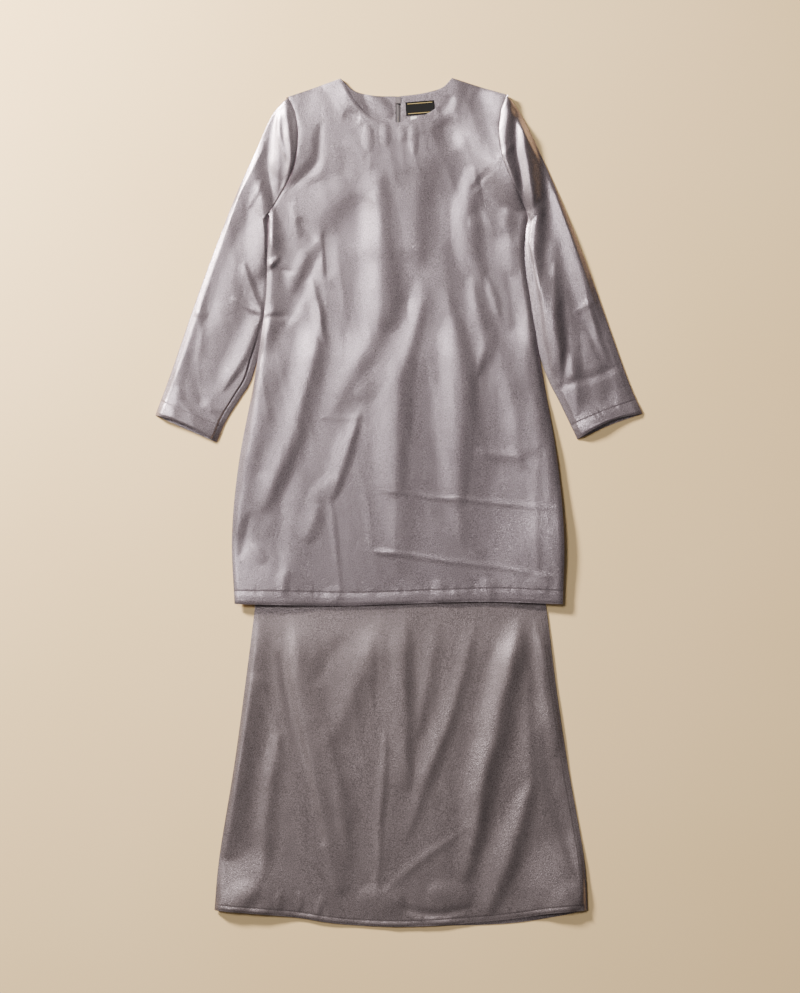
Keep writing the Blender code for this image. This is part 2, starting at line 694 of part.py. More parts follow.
def skirt_plan(hem_points, rows, columns):
    """Plan grid of a skirt panel with the given row places."""
    left = evenly(skirt_side("left"), rows)
    right = evenly(skirt_side("right"), rows)
    hem = edge((tuple(left[0]),) + hem_points + (tuple(right[0]),), columns)
    top = edge((tuple(left[-1]), tuple(right[-1])), columns)
    return patch(hem, top, left, right, rows)


def make_skirt():
    """Front and back panel of the skirt; the back's underside is the flat face it all lies on."""
    length = WAISTBAND_Y - SKIRT_SIDES[0].y
    shown_top = (HEM_Y - SKIRT_SIDES[0].y) / length
    hem_rows = [0.0, SKIRT_HEM_TURN / length]
    shown_rows = np.linspace((SKIRT_HEM_TURN + 4.0) / length, shown_top, 19)
    rows = np.concatenate([hem_rows, shown_rows, np.linspace(shown_top, 1.0, 7)[1:]])
    plan = skirt_plan(SKIRT_HEM, rows, SKIRT_COLUMNS)
    x, y = plan[..., 0], plan[..., 1]
    below_tunic = 1.0 - smoothstep(HEM_Y - 75.0, HEM_Y - 32.0, y)
    relief = fold_height(SKIRT_FOLDS, x, y) + rise_height(SKIRT_RISES, x, y)
    bottom = WALL + LAYER_GAP + below_tunic * relief
    upper = bottom + WALL + hem_thickness(*bottom.shape)
    wall_on_grid("skirt_front", plan, bottom, upper, "skirt_satin")
    plan = skirt_plan(SKIRT_BACK_HEM, np.linspace(0.0, 1.0, 11), SKIRT_BACK_COLUMNS)
    floor = np.zeros(plan.shape[:2])
    wall_on_grid("skirt_back", plan, floor, floor + WALL, "skirt_satin")


def make_waistband():
    """Elastic waistband: a flattened ring that is hidden under the tunic."""
    left = skirt_side("left")[-1][0]
    right = skirt_side("right")[-1][0]
    low = WAISTBAND_Y + SEAM_GAP
    high = WAIST_TOP_Y
    top = 2 * WALL + LAYER_GAP
    edge_steps = ((0.0, 0.5), (1.0, 1.0))
    outer = [(left + inset, z * top) for inset, z in edge_steps]
    outer += [(right - inset, z * top) for inset, z in reversed(edge_steps)]
    outer += [(right - 1.0, 0.0), (left + 1.0, 0.0)]
    inner = [(left + WALL, 0.5 * top), (left + 2.0, top - WALL), (right - 2.0, top - WALL)]
    inner += [(right - WALL, 0.5 * top), (right - 2.0, WALL), (left + 2.0, WALL)]
    rings = [[(x, y, z) for x, z in outline] for outline, y in
             ((outer, low), (outer, high), (inner, high), (inner, low))]
    size = len(outer)
    faces = []
    for ring in range(len(rings)):
        following = (ring + 1) % len(rings)
        for step in range(size):
            after = (step + 1) % size
            faces.append([ring * size + step, ring * size + after,
                          following * size + after, following * size + step])
    mesh_object("skirt_waistband", [point for ring in rings for point in ring], faces, "skirt_satin")


def centre_on_floor():
    """Moves everything so that the middle of the floor outline is the origin."""
    bpy.context.view_layer.update()
    corners = []
    for item in bpy.data.objects:
        if item.type == "MESH":
            corners += [item.matrix_world @ vertex.co for vertex in item.data.vertices]
    middle_x = (min(point.x for point in corners) + max(point.x for point in corners)) / 2
    middle_y = (min(point.y for point in corners) + max(point.y for point in corners)) / 2
    for item in bpy.data.objects:
        if item.parent is None:
            item.location.x -= middle_x
            item.location.y -= middle_y


def make_baju_kurung():
    """Builds the skirt first, then the tunic that lies over it."""
    clear_scene()
    make_skirt()
    make_waistband()
    make_tunic_front()
    for side in ("left", "right"):
        make_back(side)
        make_zip_tape(side)
        make_sleeve(side)
    make_slider()
    make_pull_tab()
    make_label()
    centre_on_floor()


make_baju_kurung()
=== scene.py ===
"""The looks of the baju kurung: fine cloth over its solids, sewing, zip, label, floor, light, camera.

Sizes are in millimetres, measured as in the part's own drawing, and become metres in the meshes.
"""
import math
from collections import namedtuple

import bmesh
import bpy
import numpy as np
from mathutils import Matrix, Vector


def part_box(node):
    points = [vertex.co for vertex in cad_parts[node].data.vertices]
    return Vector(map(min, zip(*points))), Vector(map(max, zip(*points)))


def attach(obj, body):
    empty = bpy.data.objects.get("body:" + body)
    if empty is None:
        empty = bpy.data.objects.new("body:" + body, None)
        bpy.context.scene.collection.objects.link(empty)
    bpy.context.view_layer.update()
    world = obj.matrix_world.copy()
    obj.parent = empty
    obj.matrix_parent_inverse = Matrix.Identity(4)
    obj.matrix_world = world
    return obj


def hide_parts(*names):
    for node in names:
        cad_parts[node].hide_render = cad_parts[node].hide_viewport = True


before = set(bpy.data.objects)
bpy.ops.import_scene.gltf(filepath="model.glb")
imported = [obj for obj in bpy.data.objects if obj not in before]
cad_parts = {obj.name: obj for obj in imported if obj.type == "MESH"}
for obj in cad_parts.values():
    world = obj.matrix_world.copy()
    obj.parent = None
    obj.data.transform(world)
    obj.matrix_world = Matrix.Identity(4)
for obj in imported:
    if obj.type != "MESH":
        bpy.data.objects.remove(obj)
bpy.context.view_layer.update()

MM = 0.001

# Where the drawing's zero lies in the frame, found from a solid whose places are known
SKIRT_LEFT_HEM_X = -327.0
WAISTBAND_Y = 185.0
SHIFT_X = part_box("skirt_back")[0][0] / MM - SKIRT_LEFT_HEM_X
SHIFT_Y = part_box("skirt_back")[1][1] / MM - WAISTBAND_Y

# Cloth
CLOTH = 0.6
THINNEST = 0.1
SOLID_WALL = 1.0
LAYER_GAP = 0.4
STEP = 3.6

# Tunic
SHOULDER_POINT_Y = 751.0
BODY_LENGTH = 930.0
HEM_Y = SHOULDER_POINT_Y - BODY_LENGTH
CENTRE_BACK_X = -2.0
SIDE_SEAM_LENGTH = 690.0
ARMHOLE_LENGTH = 234.0
TUNIC_HEM_TURN = 24.0
CUFF_HEM_TURN = 28.0
SKIRT_HEM_TURN = 10.0
HEM_THICKENING = 0.3
STITCH_SINK = 0.4
HEM_ROLL = 4.5
SLEEVE_SEAM_INSET = 10.0
SKIRT_SEAM_INSET = 10.0
SEAM_SAMPLES = np.array([-2.4, -1.2, 0.0, 1.2, 2.4])
WAIST_TOP_Y = 215.0
SEAM_STRIP = 0.968

SideLevel = namedtuple("SideLevel", "drop left right")
TUNIC_SIDES = (
    SideLevel(930, 291, 289),
    SideLevel(811, 296, 291),
    SideLevel(681, 284, 280),
    SideLevel(525, 255, 254),
    SideLevel(395, 236, 232),
    SideLevel(310, 233, 221),
    SideLevel(241, 232, 228),
)
TUNIC_SHOULDER = {"left": (-196, 718), "right": (189, 721)}
HIGH_SHOULDER = {"left": (-103, 750), "right": (93, 751)}
TUNIC_ARMHOLE = {
    "left": ((-214, 537), (-187, 588), (-178, 644), (-183, 687)),
    "right": ((212, 541), (184, 602), (175, 655), (180, 694)),
}
FRONT_NECK = ((-88, 722), (-64, 692), (-35, 676), (0, 672), (40, 683), (68, 700), (84, 724))
BACK_NECK = {"left": ((-80, 729), (-45, 720)), "right": ((75, 734), (40, 724))}
BACK_NECK_Y = 719.0
TUNIC_HEM = ((-117, -182), (0, -179), (147, -175))

# Sleeves; their inner edges run a little way under the tunic's sides
SLEEVE_OUTER = {
    "left": ((-224, 687), (-255, 620), (-293, 535), (-352, 379), (-404, 230), (-432, 155)),
    "right": ((212, 693), (241, 637), (289, 529), (335, 414), (401, 228), (431, 158)),
}
SLEEVE_INNER = {
    "left": (
        (-231, 497), (-226, 470), (-225, 420), (-226, 377), (-236, 300), (-252, 248),
        (-264, 212), (-283, 182), (-305, 147), (-323, 107),
    ),
    "right": (
        (227, 497), (221, 470), (217, 430), (222, 377), (236, 300), (252, 248),
        (266, 212), (281, 183), (298, 148), (315, 112),
    ),
}
CUFF_DROP = {"left": (-372, 128), "right": (372, 137)}
CAP_OUTER_SHARE = 0.32
CAP_INNER_SHARE = 0.05
SLEEVE_COLUMNS = 52
CAP_ROWS = 50
CUFF_PEEK = 7.0
CUFF_MOUTH = 5.0
# How high each sleeve stands, and how far its crest leans from the middle towards the body
Belly = namedtuple("Belly", "height power")
SLEEVE_LEAN = {"left": Belly(3.8, 0.45), "right": Belly(4.4, 2.4)}

# Skirt
SkirtLevel = namedtuple("SkirtLevel", "y left right")
SKIRT_SIDES = (
    SkirtLevel(-720, 327, 333),
    SkirtLevel(-624, 318, 326),
    SkirtLevel(-464, 292, 298),
    SkirtLevel(-324, 273, 277),
    SkirtLevel(-182, 255, 260),
    SkirtLevel(15, 232, 236),
    SkirtLevel(120, 203, 206),
    SkirtLevel(WAISTBAND_Y, 172, 175),
)
SKIRT_HEM = ((-196, -732), (-106, -745), (-20, -750), (64, -748), (188, -738), (275, -725))
SKIRT_BACK_HEM = ((-196, -732), (-106, -745), (-20, -750), (64, -749), (188, -745), (275, -733))

# Zip and label
ZIP_TOP_Y = 718.0
ZIP_LENGTH = 225.0
ZIP_SLOT = 2.4
TAPE_WIDTH = 3.2
SEAM_GAP = 0.3
UNDER_ZIP = 2.4
COIL_PITCH = 1.3
LABEL_WIDTH = 51.0
LABEL_HEIGHT = 24.0
LABEL_CENTRE = (37.0, 698.0)
LABEL_TILT_DEG = 4.5
SIZE_TAB_WIDTH = 11.0
SIZE_TAB_HEIGHT = 16.0
SIZE_TAB_CENTRE = (26.0, 675.0)
NECK_CENTRE = (CENTRE_BACK_X, 690.0)
NECK_PLATEAU = 84.0
NECK_REACH = 185.0

# Creases: the line where each catches the light, or for a trough loses it, its width on the side
# towards the light and on the side away from it, and its height, which is below 0 for a trough
Crease = namedtuple("Crease", "path lit shade height")
TUNIC_CREASES = (
    # from the left of the waist down to the hem
    Crease(((-147, 335), (-152, 285), (-166, 225), (-182, 173), (-198, 112), (-218, 60), (-238, 12)),
           38, 30, 5.0),
    Crease(((-154, 389), (-146, 350), (-134, 300)), 12, 8, 1.7),
    Crease(((-179, 97), (-202, 30), (-211, -30), (-214, -90)), 26, 26, -1.5),
    Crease(((-229, 325), (-241, 250), (-254, 170), (-271, 70), (-286, -30)), 14, 54, 4.6),
    Crease(((-268, -30), (-274, -60), (-281, -87)), 14, 11, -1.5),
    Crease(((-257, -76), (-250, -88), (-242, -100)), 12, 12, 0.9),
    Crease(((-126, 14), (-117, -51), (-110, -131)), 9, 7, 0.6),
    Crease(((-80, 143), (-94, 101), (-106, 62), (-117, 28)), 30, 13, 2.7),
    Crease(((-149, -11), (-158, -35), (-166, -60)), 26, 21, 1.8),
    # the three long folds of the middle
    Crease(((-46, 560), (-42, 480), (-42, 400), (-38, 335), (-56, 290), (-80, 250), (-100, 210),
            (-118, 180)), 42, 44, 3.8),
    Crease(((34, 372), (30, 330), (20, 288), (8, 250), (-3, 212), (-10, 150), (-12, 90), (-13, 30),
            (-12, -40), (-11, -95)), 46, 66, 3.6),
    Crease(((78, 356), (86, 326), (92, 300), (96, 250), (97, 210), (99, 150), (100, 110), (100, 69),
            (100, 20), (100, -40)), 46, 66, 3.4),
    # the right side
    Crease(((127, 378), (135, 342), (143, 310), (147, 278), (136, 246)), 32, 26, 3.2),
    Crease(((158, 392), (166, 362), (172, 338)), 12, 10, 1.3),
    Crease(((165, 290), (176, 240), (188, 190), (198, 140), (203, 90)), 46, 31, 2.8),
    Crease(((223, 342), (227, 290), (239, 242), (248, 150), (255, 90), (260, 30)), 30, 22, 2.2),
    Crease(((242, 96), (237, 18), (241, -60), (244, -106)), 16, 12, 0.8),
    Crease(((143, 90), (172, 88), (205, 84)), 14, 18, 0.9),
    Crease(((2, 18), (94, 8), (172, -2), (235, -7), (283, -12)), 7, 6, 0.8),
    Crease(((-35, -85), (4, -88), (69, -99), (147, -110), (250, -127)), 7, 7, 0.8),
    Crease(((-40, -84), (-26, -86), (-12, -87)), 9, 9, 1.2),
    Crease(((-173, 154), (-120, 152), (-75, 150)), 7, 6, 0.4),
    # the left of the chest, with its pinch at the side
    Crease(((-178, 500), (-165, 487), (-155, 470)), 20, 18, -2.2),
    Crease(((-190, 525), (-184, 500), (-180, 480)), 12, 12, 1.2),
    Crease(((-150, 434), (-166, 396), (-181, 362), (-196, 329)), 24, 18, -3.0),
    Crease(((-168, 440), (-178, 410), (-186, 385)), 20, 16, 1.6),
    Crease(((-133, 469), (-132, 440), (-131, 409)), 7, 26, -1.7),
    Crease(((-216, 432), (-226, 424), (-234, 416)), 9, 8, 2.0),
    Crease(((-224, 415), (-208, 412), (-192, 410)), 10, 9, -2.0),
    Crease(((-232, 329), (-214, 329), (-194, 326)), 9, 9, -2.2),
    Crease(((-228, 505), (-226, 465), (-220, 440)), 12, 16, 1.8),
    Crease(((-143, 655), (-147, 609), (-162, 588), (-181, 570)), 16, 14, -2.0),
    # below the neckline
    Crease(((-98, 688), (-87, 686), (-76, 684)), 12, 16, -1.8),
    Crease(((88, 716), (81, 706), (74, 696)), 14, 13, -2.6),
    # the right of the chest
    Crease(((117, 700), (128, 655), (146, 615), (172, 588), (192, 552)), 56, 45, 5.0),
    Crease(((186, 508), (191, 460), (196, 420)), 22, 18, 2.0),
    Crease(((66, 590), (58, 540), (64, 480)), 40, 34, -1.4),
    Crease(((30, 560), (20, 500), (26, 440)), 40, 34, 1.2),
    # the hem
    Crease(((-200, -120), (-206, -135), (-204, -155)), 16, 14, 1.1),
)
SLEEVE_CREASES = (
    # left
    Crease(((-206, 703), (-199, 662), (-196, 619), (-196, 598), (-202, 570)), 11, 12, 2.9),
    Crease(((-217, 696), (-213, 651), (-206, 620)), 8, 8, 1.8),
    Crease(((-227, 696), (-234, 640), (-236, 600), (-230, 556)), 26, 16, -5.0),
    Crease(((-244, 567), (-254, 546), (-266, 526)), 9, 7, 0.7),
    Crease(((-249, 566), (-281, 498), (-313, 427), (-343, 338)), 36, 36, -2.2),
    Crease(((-248, 548), (-243, 485), (-250, 425)), 32, 26, 2.9),
    Crease(((-272, 411), (-260, 373), (-243, 337)), 15, 10, 1.9),
    Crease(((-290, 359), (-265, 345), (-242, 336)), 11, 9, 1.7),
    Crease(((-361, 335), (-353, 333), (-344, 332)), 8, 7, 1.0),
    Crease(((-350, 176), (-334, 168), (-318, 164)), 10, 9, 0.9),
    Crease(((-254, 316), (-276, 262), (-304, 218)), 30, 10, 2.6),
    Crease(((-335, 400), (-347, 331), (-360, 287), (-378, 225)), 24, 60, -1.6),
    Crease(((-266, 380), (-290, 300), (-326, 225)), 40, 40, -1.4),
    Crease(((-366, 260), (-356, 225), (-352, 190)), 24, 24, -1.6),
    Crease(((-392, 200), (-400, 175), (-404, 155)), 20, 16, 1.2),
    Crease(((-276, 640), (-300, 560), (-330, 480)), 22, 22, 2.0),
    # right
    Crease(((188, 700), (185, 655), (187, 616), (200, 564)), 12, 18, 3.0),
    Crease(((203, 688), (205, 645), (208, 609), (214, 556), (224, 524)), 18, 13, -5.0),
    Crease(((217, 672), (224, 609), (231, 556), (235, 515), (235, 460)), 17, 34, 4.4),
    Crease(((253, 600), (257, 543), (257, 485), (250, 411)), 22, 24, -2.6),
    Crease(((271, 543), (294, 485), (312, 427), (324, 382), (333, 350), (343, 315)), 26, 22, 3.4),
    Crease(((272, 400), (270, 330), (278, 278), (281, 230)), 18, 18, 2.6),
    Crease(((286, 340), (290, 290), (287, 230)), 20, 20, -2.4),
    Crease(((234, 440), (245, 380), (257, 310), (268, 250)), 6, 26, 4.0),
    Crease(((312, 338), (330, 350), (347, 361)), 10, 8, 0.7),
    Crease(((283, 204), (310, 216), (337, 222), (365, 234), (388, 242)), 14, 12, -1.3),
    Crease(((332, 348), (348, 308), (362, 266)), 12, 12, 1.2),
    Crease(((376, 232), (382, 205), (388, 182)), 26, 21, 1.8),
    Crease(((330, 290), (345, 250), (350, 200)), 34, 27, 1.8),
    Crease(((300, 250), (310, 215), (312, 175)), 22, 20, 1.6),
)
SKIRT_CREASES = (
    # the two strong ridges on the right
    Crease(((209, -186), (201, -238), (186, -306), (167, -388), (149, -465), (133, -550), (115, -636)),
           36, 30, 5.4),
    Crease(((224, -516), (208, -575), (186, -635), (160, -700)), 30, 26, 3.2),
    # the long ridge on the left, with the dent beside it
    Crease(((-193, -200), (-174, -355), (-148, -511), (-116, -660)), 22, 46, 3.6),
    Crease(((-207, -288), (-177, -421), (-142, -578)), 18, 12, -2.0),
    Crease(((-252, -200), (-268, -331), (-286, -441), (-300, -528), (-312, -600)), 13, 34, 3.4),
    # fainter ones
    Crease(((-55, -237), (-72, -287), (-94, -339), (-117, -391)), 40, 30, 1.2),
    Crease(((-104, -246), (-126, -273), (-147, -306)), 24, 26, -1.2),
    Crease(((2, -190), (2, -280), (3, -380), (4, -473)), 46, 20, 2.8),
    Crease(((-28, -427), (-32, -506), (-37, -595), (-41, -678)), 14, 9, 1.4),
    Crease(((122, -234), (96, -343), (60, -441), (37, -506), (16, -568)), 30, 19, 2.2),
    Crease(((95, -589), (60, -616), (16, -648), (-19, -678)), 13, 12, 0.7),
    Crease(((14, -720), (64, -726), (113, -717)), 12, 10, -1.5),
    Crease(((258, -418), (271, -506), (294, -595), (315, -660)), 13, 16, -1.3),
    Crease(((242, -230), (256, -330), (268, -420)), 22, 18, 1.8),
    Crease(((60, -215), (48, -300), (30, -390)), 24, 20, 1.4),
    Crease(((-130, -420), (-104, -520), (-98, -620)), 30, 24, 2.0),
    Crease(((-220, -430), (-236, -540), (-246, -640)), 24, 22, 2.0),
    Crease(((224, -320), (226, -420), (232, -500)), 26, 22, 1.6),
    Crease(((-176, -690), (-176, -704), (-178, -718)), 10, 8, 1.0),
    Crease(((-210, -688), (-212, -700), (-214, -714)), 10, 8, 1.0),
    Crease(((-140, -696), (-142, -710), (-144, -724)), 10, 8, 1.0),
)
# Broad swells, with a rounder form: the line of each top, its reach on both sides and its height
TUNIC_SWELLS = (
    Crease(((192, 722), (204, 655), (212, 600), (222, 548)), 92, 44, 11.5),
    Crease(((-60, 524), (-88, 496), (-118, 466)), 50, 60, -1.8),
    Crease(((-97, 557), (-125, 529), (-155, 499)), 80, 60, 1.6),
    Crease(((-186, 712), (-184, 650), (-188, 590)), 64, 112, 5.0),
    Crease(((-92, 636), (-78, 626), (-66, 612)), 16, 14, 0.5),
    Crease(((-58, 660), (-58, 644), (-56, 624)), 14, 14, 0.8),
    Crease(((-26, 664), (-26, 650), (-27, 634)), 12, 12, 0.65),
    Crease(((4, 662), (4, 652), (4, 640)), 11, 11, 0.5),
    Crease(((26, 662), (25, 644), (26, 622)), 13, 12, 0.75),
    Crease(((126, 566), (121, 510), (127, 450), (140, 412)), 34, 30, 3.8),
    Crease(((132, 490), (156, 497), (182, 497)), 26, 36, 1.6),
    Crease(((-40, 560), (-24, 480), (-16, 400), (-20, 330)), 56, 46, 2.6),
    Crease(((30, 330), (6, 250), (-2, 150), (-6, 40)), 50, 30, 2.2),
    Crease(((104, 300), (114, 220), (110, 120), (104, 20)), 50, 30, 2.2),
    Crease(((216, 280), (226, 200), (232, 110)), 50, 36, 2.6),
    Crease(((-240, 30), (-250, -30), (-254, -90)), 40, 40, 1.2),
    Crease(((-34, 230), (-53, 205), (-69, 189)), 26, 26, 1.0),
    Crease(((-124, 34), (-138, 16), (-150, -4)), 24, 26, 1.1),
    Crease(((-108, -150), (-112, -164), (-116, -176)), 22, 22, 0.9),
    Crease(((68, -140), (68, -156), (70, -170)), 24, 20, 0.9),
    Crease(((158, -140), (160, -156), (160, -170)), 28, 22, 1.0),
    Crease(((250, -128), (252, -142), (254, -158)), 28, 22, 1.2),
)
SLEEVE_SWELLS = (
    Crease(((-236, 560), (-238, 490), (-244, 420)), 34, 24, 1.8),
    Crease(((300, 540), (330, 440), (352, 350)), 44, 36, 2.6),
    Crease(((262, 380), (282, 320), (300, 240)), 40, 34, 2.4),
)
SKIRT_SWELLS = (
    Crease(((216, -200), (190, -330), (160, -450), (130, -590)), 56, 46, 1.8),
    Crease(((216, -540), (184, -630), (158, -706)), 40, 34, 1.4),
    Crease(((-30, -210), (-56, -300), (-96, -400)), 56, 40, 1.2),
    Crease(((-260, -330), (-284, -460), (-300, -600)), 34, 50, 2.4),
    Crease(((276, -738), (304, -714), (332, -684)), 46, 16, 2.6),
    Crease(((-306, -728), (-282, -708), (-256, -684)), 40, 24, 2.0),
    Crease(((60, -690), (90, -698), (120, -702)), 34, 44, 1.8),
    Crease(((-60, -700), (-30, -704), (0, -706)), 34, 44, 1.8),
)
BACK_CREASES = (
    Crease(((-60, 600), (-80, 450), (-120, 330)), 24, 20, 1.6),
    Crease(((70, 600), (100, 470), (110, 330)), 24, 20, 1.6),
    Crease(((-150, 300), (-180, 150), (-220, 0)), 26, 20, 1.6),
    Crease(((150, 300), (190, 150), (230, 20)), 26, 20, 1.6),
    Crease(((-200, 480), (-150, 420), (-110, 400)), 20, 16, 1.3),
    Crease(((200, 470), (150, 430), (100, 410)), 20, 16, 1.3),
)
SKIRT_BACK_CREASES = (
    Crease(((-120, 60), (-160, -200), (-210, -560)), 34, 28, 1.8),
    Crease(((110, 60), (160, -220), (210, -580)), 34, 28, 1.8),
    Crease(((-20, 20), (-10, -300), (-30, -620)), 30, 24, 1.5),
    Crease(((60, -120), (70, -400), (40, -690)), 24, 20, 1.3),
)

# Places where an edge stands clear of what it lies on: middle, reach and height
Rise = namedtuple("Rise", "centre reach height")
TUNIC_RISES = (
    Rise((310, -130), 170, 7.0),
    Rise((300, 0), 150, 5.0),
    Rise((262, 120), 90, 2.5),
    Rise((-250, -185), 120, 6.0),
)
NECK_RISES = (
    Rise((-84, 716), 34, 1.0),
    Rise((90, 654), 36, -2.6),
)
FACING_SWELLS = (
    Crease(((-52, 718), (-34, 704), (-18, 688)), 16, 16, 1.1),
    Crease(((-112, 738), (-100, 716), (-88, 696), (-68, 676)), 10, 36, 2.8),
)
SKIRT_RISES = (
    Rise((325, -700), 130, 7.0),
    Rise((-270, -715), 110, 8.0),
    Rise((300, -400), 90, 3.0),
)
SKIRT_TOP = 2 * SOLID_WALL + LAYER_GAP
OVER_SKIRT = SKIRT_TOP + 2 * LAYER_GAP
SKIRT_LIFT_START = 36.0
SKIRT_LIFT_END = 100.0

# Which way the light goes across the floor, and how far a crease's crest lies beyond the line that
# catches it, as a share of its width
LIGHT_AWAY = (0.74, -0.67)
CREST_BEYOND = 0.2
CREST_ROUND = 0.30
TAIL_SHARE = 0.22
LONGEST_TAIL = 32.0
LOOSENESS = 2.4


def smoothstep(low, high, value):
    """Rises softly from 0 at low to 1 at high."""
    share = np.clip((value - low) / (high - low), 0.0, 1.0)
    return share * share * (3.0 - 2.0 * share)


def smooth_line(points, steps=16):
    """Many points along a smooth curve through the given ones."""
    given = np.array(points, dtype=float)
    padded = np.vstack([2 * given[0] - given[1], given, 2 * given[-1] - given[-2]])
    share = (np.arange(steps) / steps)[:, None]
    spans = []
    for before, start, end, after in zip(padded, padded[1:], padded[2:], padded[3:]):
        linear = (end - before) * share
        square = (2 * before - 5 * start + 4 * end - after) * share**2
        cube = (3 * start - before - 3 * end + after) * share**3
        spans.append(start + 0.5 * (linear + square + cube))
    return np.vstack(spans + [given[-1:]])


def travelled(line):
    """Length of a line up to each of its points."""
    return np.concatenate([[0.0], np.cumsum(np.linalg.norm(np.diff(line, axis=0), axis=1))])


def evenly(line, shares):
    """Points of a line at the given shares of its length."""
    lengths = travelled(line)
    places = np.asarray(shares) * lengths[-1]
    return np.column_stack([np.interp(places, lengths, line[:, axis]) for axis in range(line.shape[1])])


def edge(points, cells):
    """A smooth edge through the points, cut into equal cells."""
    return evenly(smooth_line(points), np.linspace(0.0, 1.0, cells + 1))


def joined(*edges):
    """One edge from several that follow each other and share their ends."""
    return np.vstack([edges[0]] + [following[1:] for following in edges[1:]])


def patch(bottom, top, left, right, rows=None, columns=None):
    """Plan grid, by row and column, filled in between four edges that share their corners."""
    across = np.linspace(0.0, 1.0, len(bottom)) if columns is None else np.asarray(columns)
    across = across[None, :, None]
    up = np.linspace(0.0, 1.0, len(left)) if rows is None else np.asarray(rows)
    up = up[:, None, None]
    low_corners = (1 - across) * bottom[0] + across * bottom[-1]
    high_corners = (1 - across) * top[0] + across * top[-1]
    between_rows = (1 - up) * bottom[None] + up * top[None]
    between_columns = (1 - across) * left[:, None] + across * right[:, None]
    return between_rows + between_columns - (1 - up) * low_corners - up * high_corners


def distance_to(line, x, y):
    """Distance from each place to a line of points, the share along it, and the side it lies on."""
    best = np.full(x.shape, np.inf)
    along = np.zeros(x.shape)
    side = np.ones(x.shape)
    for index, (start, end) in enumerate(zip(line, line[1:])):
        run = end - start
        share = np.clip(((x - start[0]) * run[0] + (y - start[1]) * run[1]) / (run @ run), 0.0, 1.0)
        off_x = x - start[0] - share * run[0]
        off_y = y - start[1] - share * run[1]
        distance = np.hypot(off_x, off_y)
        nearer = distance < best
        best = np.where(nearer, distance, best)
        along = np.where(nearer, (index + share) / (len(line) - 1), along)
        side = np.where(nearer, np.sign(off_x * LIGHT_AWAY[0] + off_y * LIGHT_AWAY[1]), side)
    return best, along, side


def soft_noise(x, y, seed):
    """Smooth noise from -1 to 1 with features one unit wide."""
    size = 128
    lattice = np.random.default_rng(seed).uniform(-1.0, 1.0, (size, size))
    column = np.floor(x).astype(int)
    row = np.floor(y).astype(int)
    right = x - column
    up = y - row
    right = right**3 * (right * (right * 6 - 15) + 10)
    up = up**3 * (up * (up * 6 - 15) + 10)

    def at(columns, rows):
        return lattice[rows % size, columns % size]

    low = at(column, row) * (1 - right) + at(column + 1, row) * right
    high = at(column, row + 1) * (1 - right) + at(column + 1, row + 1) * right
    return low * (1 - up) + high * up


def lengthened(path):
    """The path of a crease with a tail at each end, in which it fades away."""
    given = np.array(path, dtype=float)
    tail = min(TAIL_SHARE * travelled(given)[-1], LONGEST_TAIL)
    start = given[0] - given[1]
    end = given[-1] - given[-2]
    start = given[0] + tail * start / np.linalg.norm(start)
    end = given[-1] + tail * end / np.linalg.norm(end)
    return np.vstack([start, given, end])


def crease_height(creases, x, y, seed, round_top=False):
    """Sum of the creases at each place, on lines that waver a little and are uneven in height."""
    bent_x = x + 2.6 * soft_noise(x / 60, y / 70, seed) + 0.8 * soft_noise(x / 18, y / 26, seed + 3)
    bent_y = y + 2.6 * soft_noise(x / 60, y / 70, seed + 1)
    uneven = 1.0 + 0.25 * soft_noise(x / 60, y / 90, seed + 2)
    total = np.zeros(x.shape)
    for crease in creases:
        reach = max(crease.lit, crease.shade)
        beyond = 0.0 if round_top else CREST_BEYOND * crease.lit
        path = lengthened(crease.path) + beyond * np.array(LIGHT_AWAY)
        low = path.min(axis=0) - reach
        high = path.max(axis=0) + reach
        near = (bent_x > low[0]) & (bent_x < high[0]) & (bent_y > low[1]) & (bent_y < high[1])
        if not near.any():
            continue
        distance, along, side = distance_to(smooth_line(path, 8), bent_x[near], bent_y[near])
        width = np.where(side < 0, crease.lit, crease.shade)
        middle = np.sin(math.pi * along)
        share = distance / (width * (0.35 + 0.65 * middle))
        if round_top:
            form = np.clip(1.0 - share**2, 0.0, 1.0) ** 2
        else:
            share = np.sqrt(share**2 + CREST_ROUND**2) - CREST_ROUND
            form = np.clip(1.0 - share, 0.0, 1.0) ** 2
        total[near] += crease.height * form * middle
    return total * uneven


def drape_noise(x, y, seed):
    """Small unevenness of cloth that lies loose: long soft waves and finer ones across them."""
    lean = x + 0.2 * y + 16.0 * soft_noise(x / 90, y / 110, seed + 5)
    ridges = 1.0 - np.sqrt(soft_noise(lean / 46, y / 190, seed + 1) ** 2 + 0.02)
    fine_ridges = 1.0 - np.sqrt(soft_noise(lean / 24, y / 90, seed + 3) ** 2 + 0.03)
    return (
        1.5 * soft_noise(lean / 70, y / 240, seed)
        + 0.9 * (ridges**2 - 0.5)
        + 0.22 * (fine_ridges**2 - 0.5)
        + 0.10 * soft_noise(lean / 11, y / 30, seed + 2)
    )


def tunic_relief(x, y):
    """Creases, swells and unevenness of the tunic's front and of the sleeves."""
    creases = crease_height(TUNIC_CREASES + SLEEVE_CREASES, x, y, 11)
    swells = crease_height(TUNIC_SWELLS + SLEEVE_SWELLS, x, y, 15, round_top=True)
    return creases + swells + drape_noise(x, y, 23)


def skirt_relief(x, y):
    """Creases, swells and unevenness of the skirt's front."""
    creases = crease_height(SKIRT_CREASES, x, y, 31)
    swells = crease_height(SKIRT_SWELLS, x, y, 35, round_top=True)
    return creases + swells + drape_noise(x, y, 37)


def rise_height(rises, x, y):
    """Sum of the soft rises at each place."""
    total = np.zeros(x.shape)
    for rise in rises:
        distance = np.hypot(x - rise.centre[0], y - rise.centre[1])
        total += rise.height * (1.0 - smoothstep(0.15 * rise.reach, rise.reach, distance))
    return total


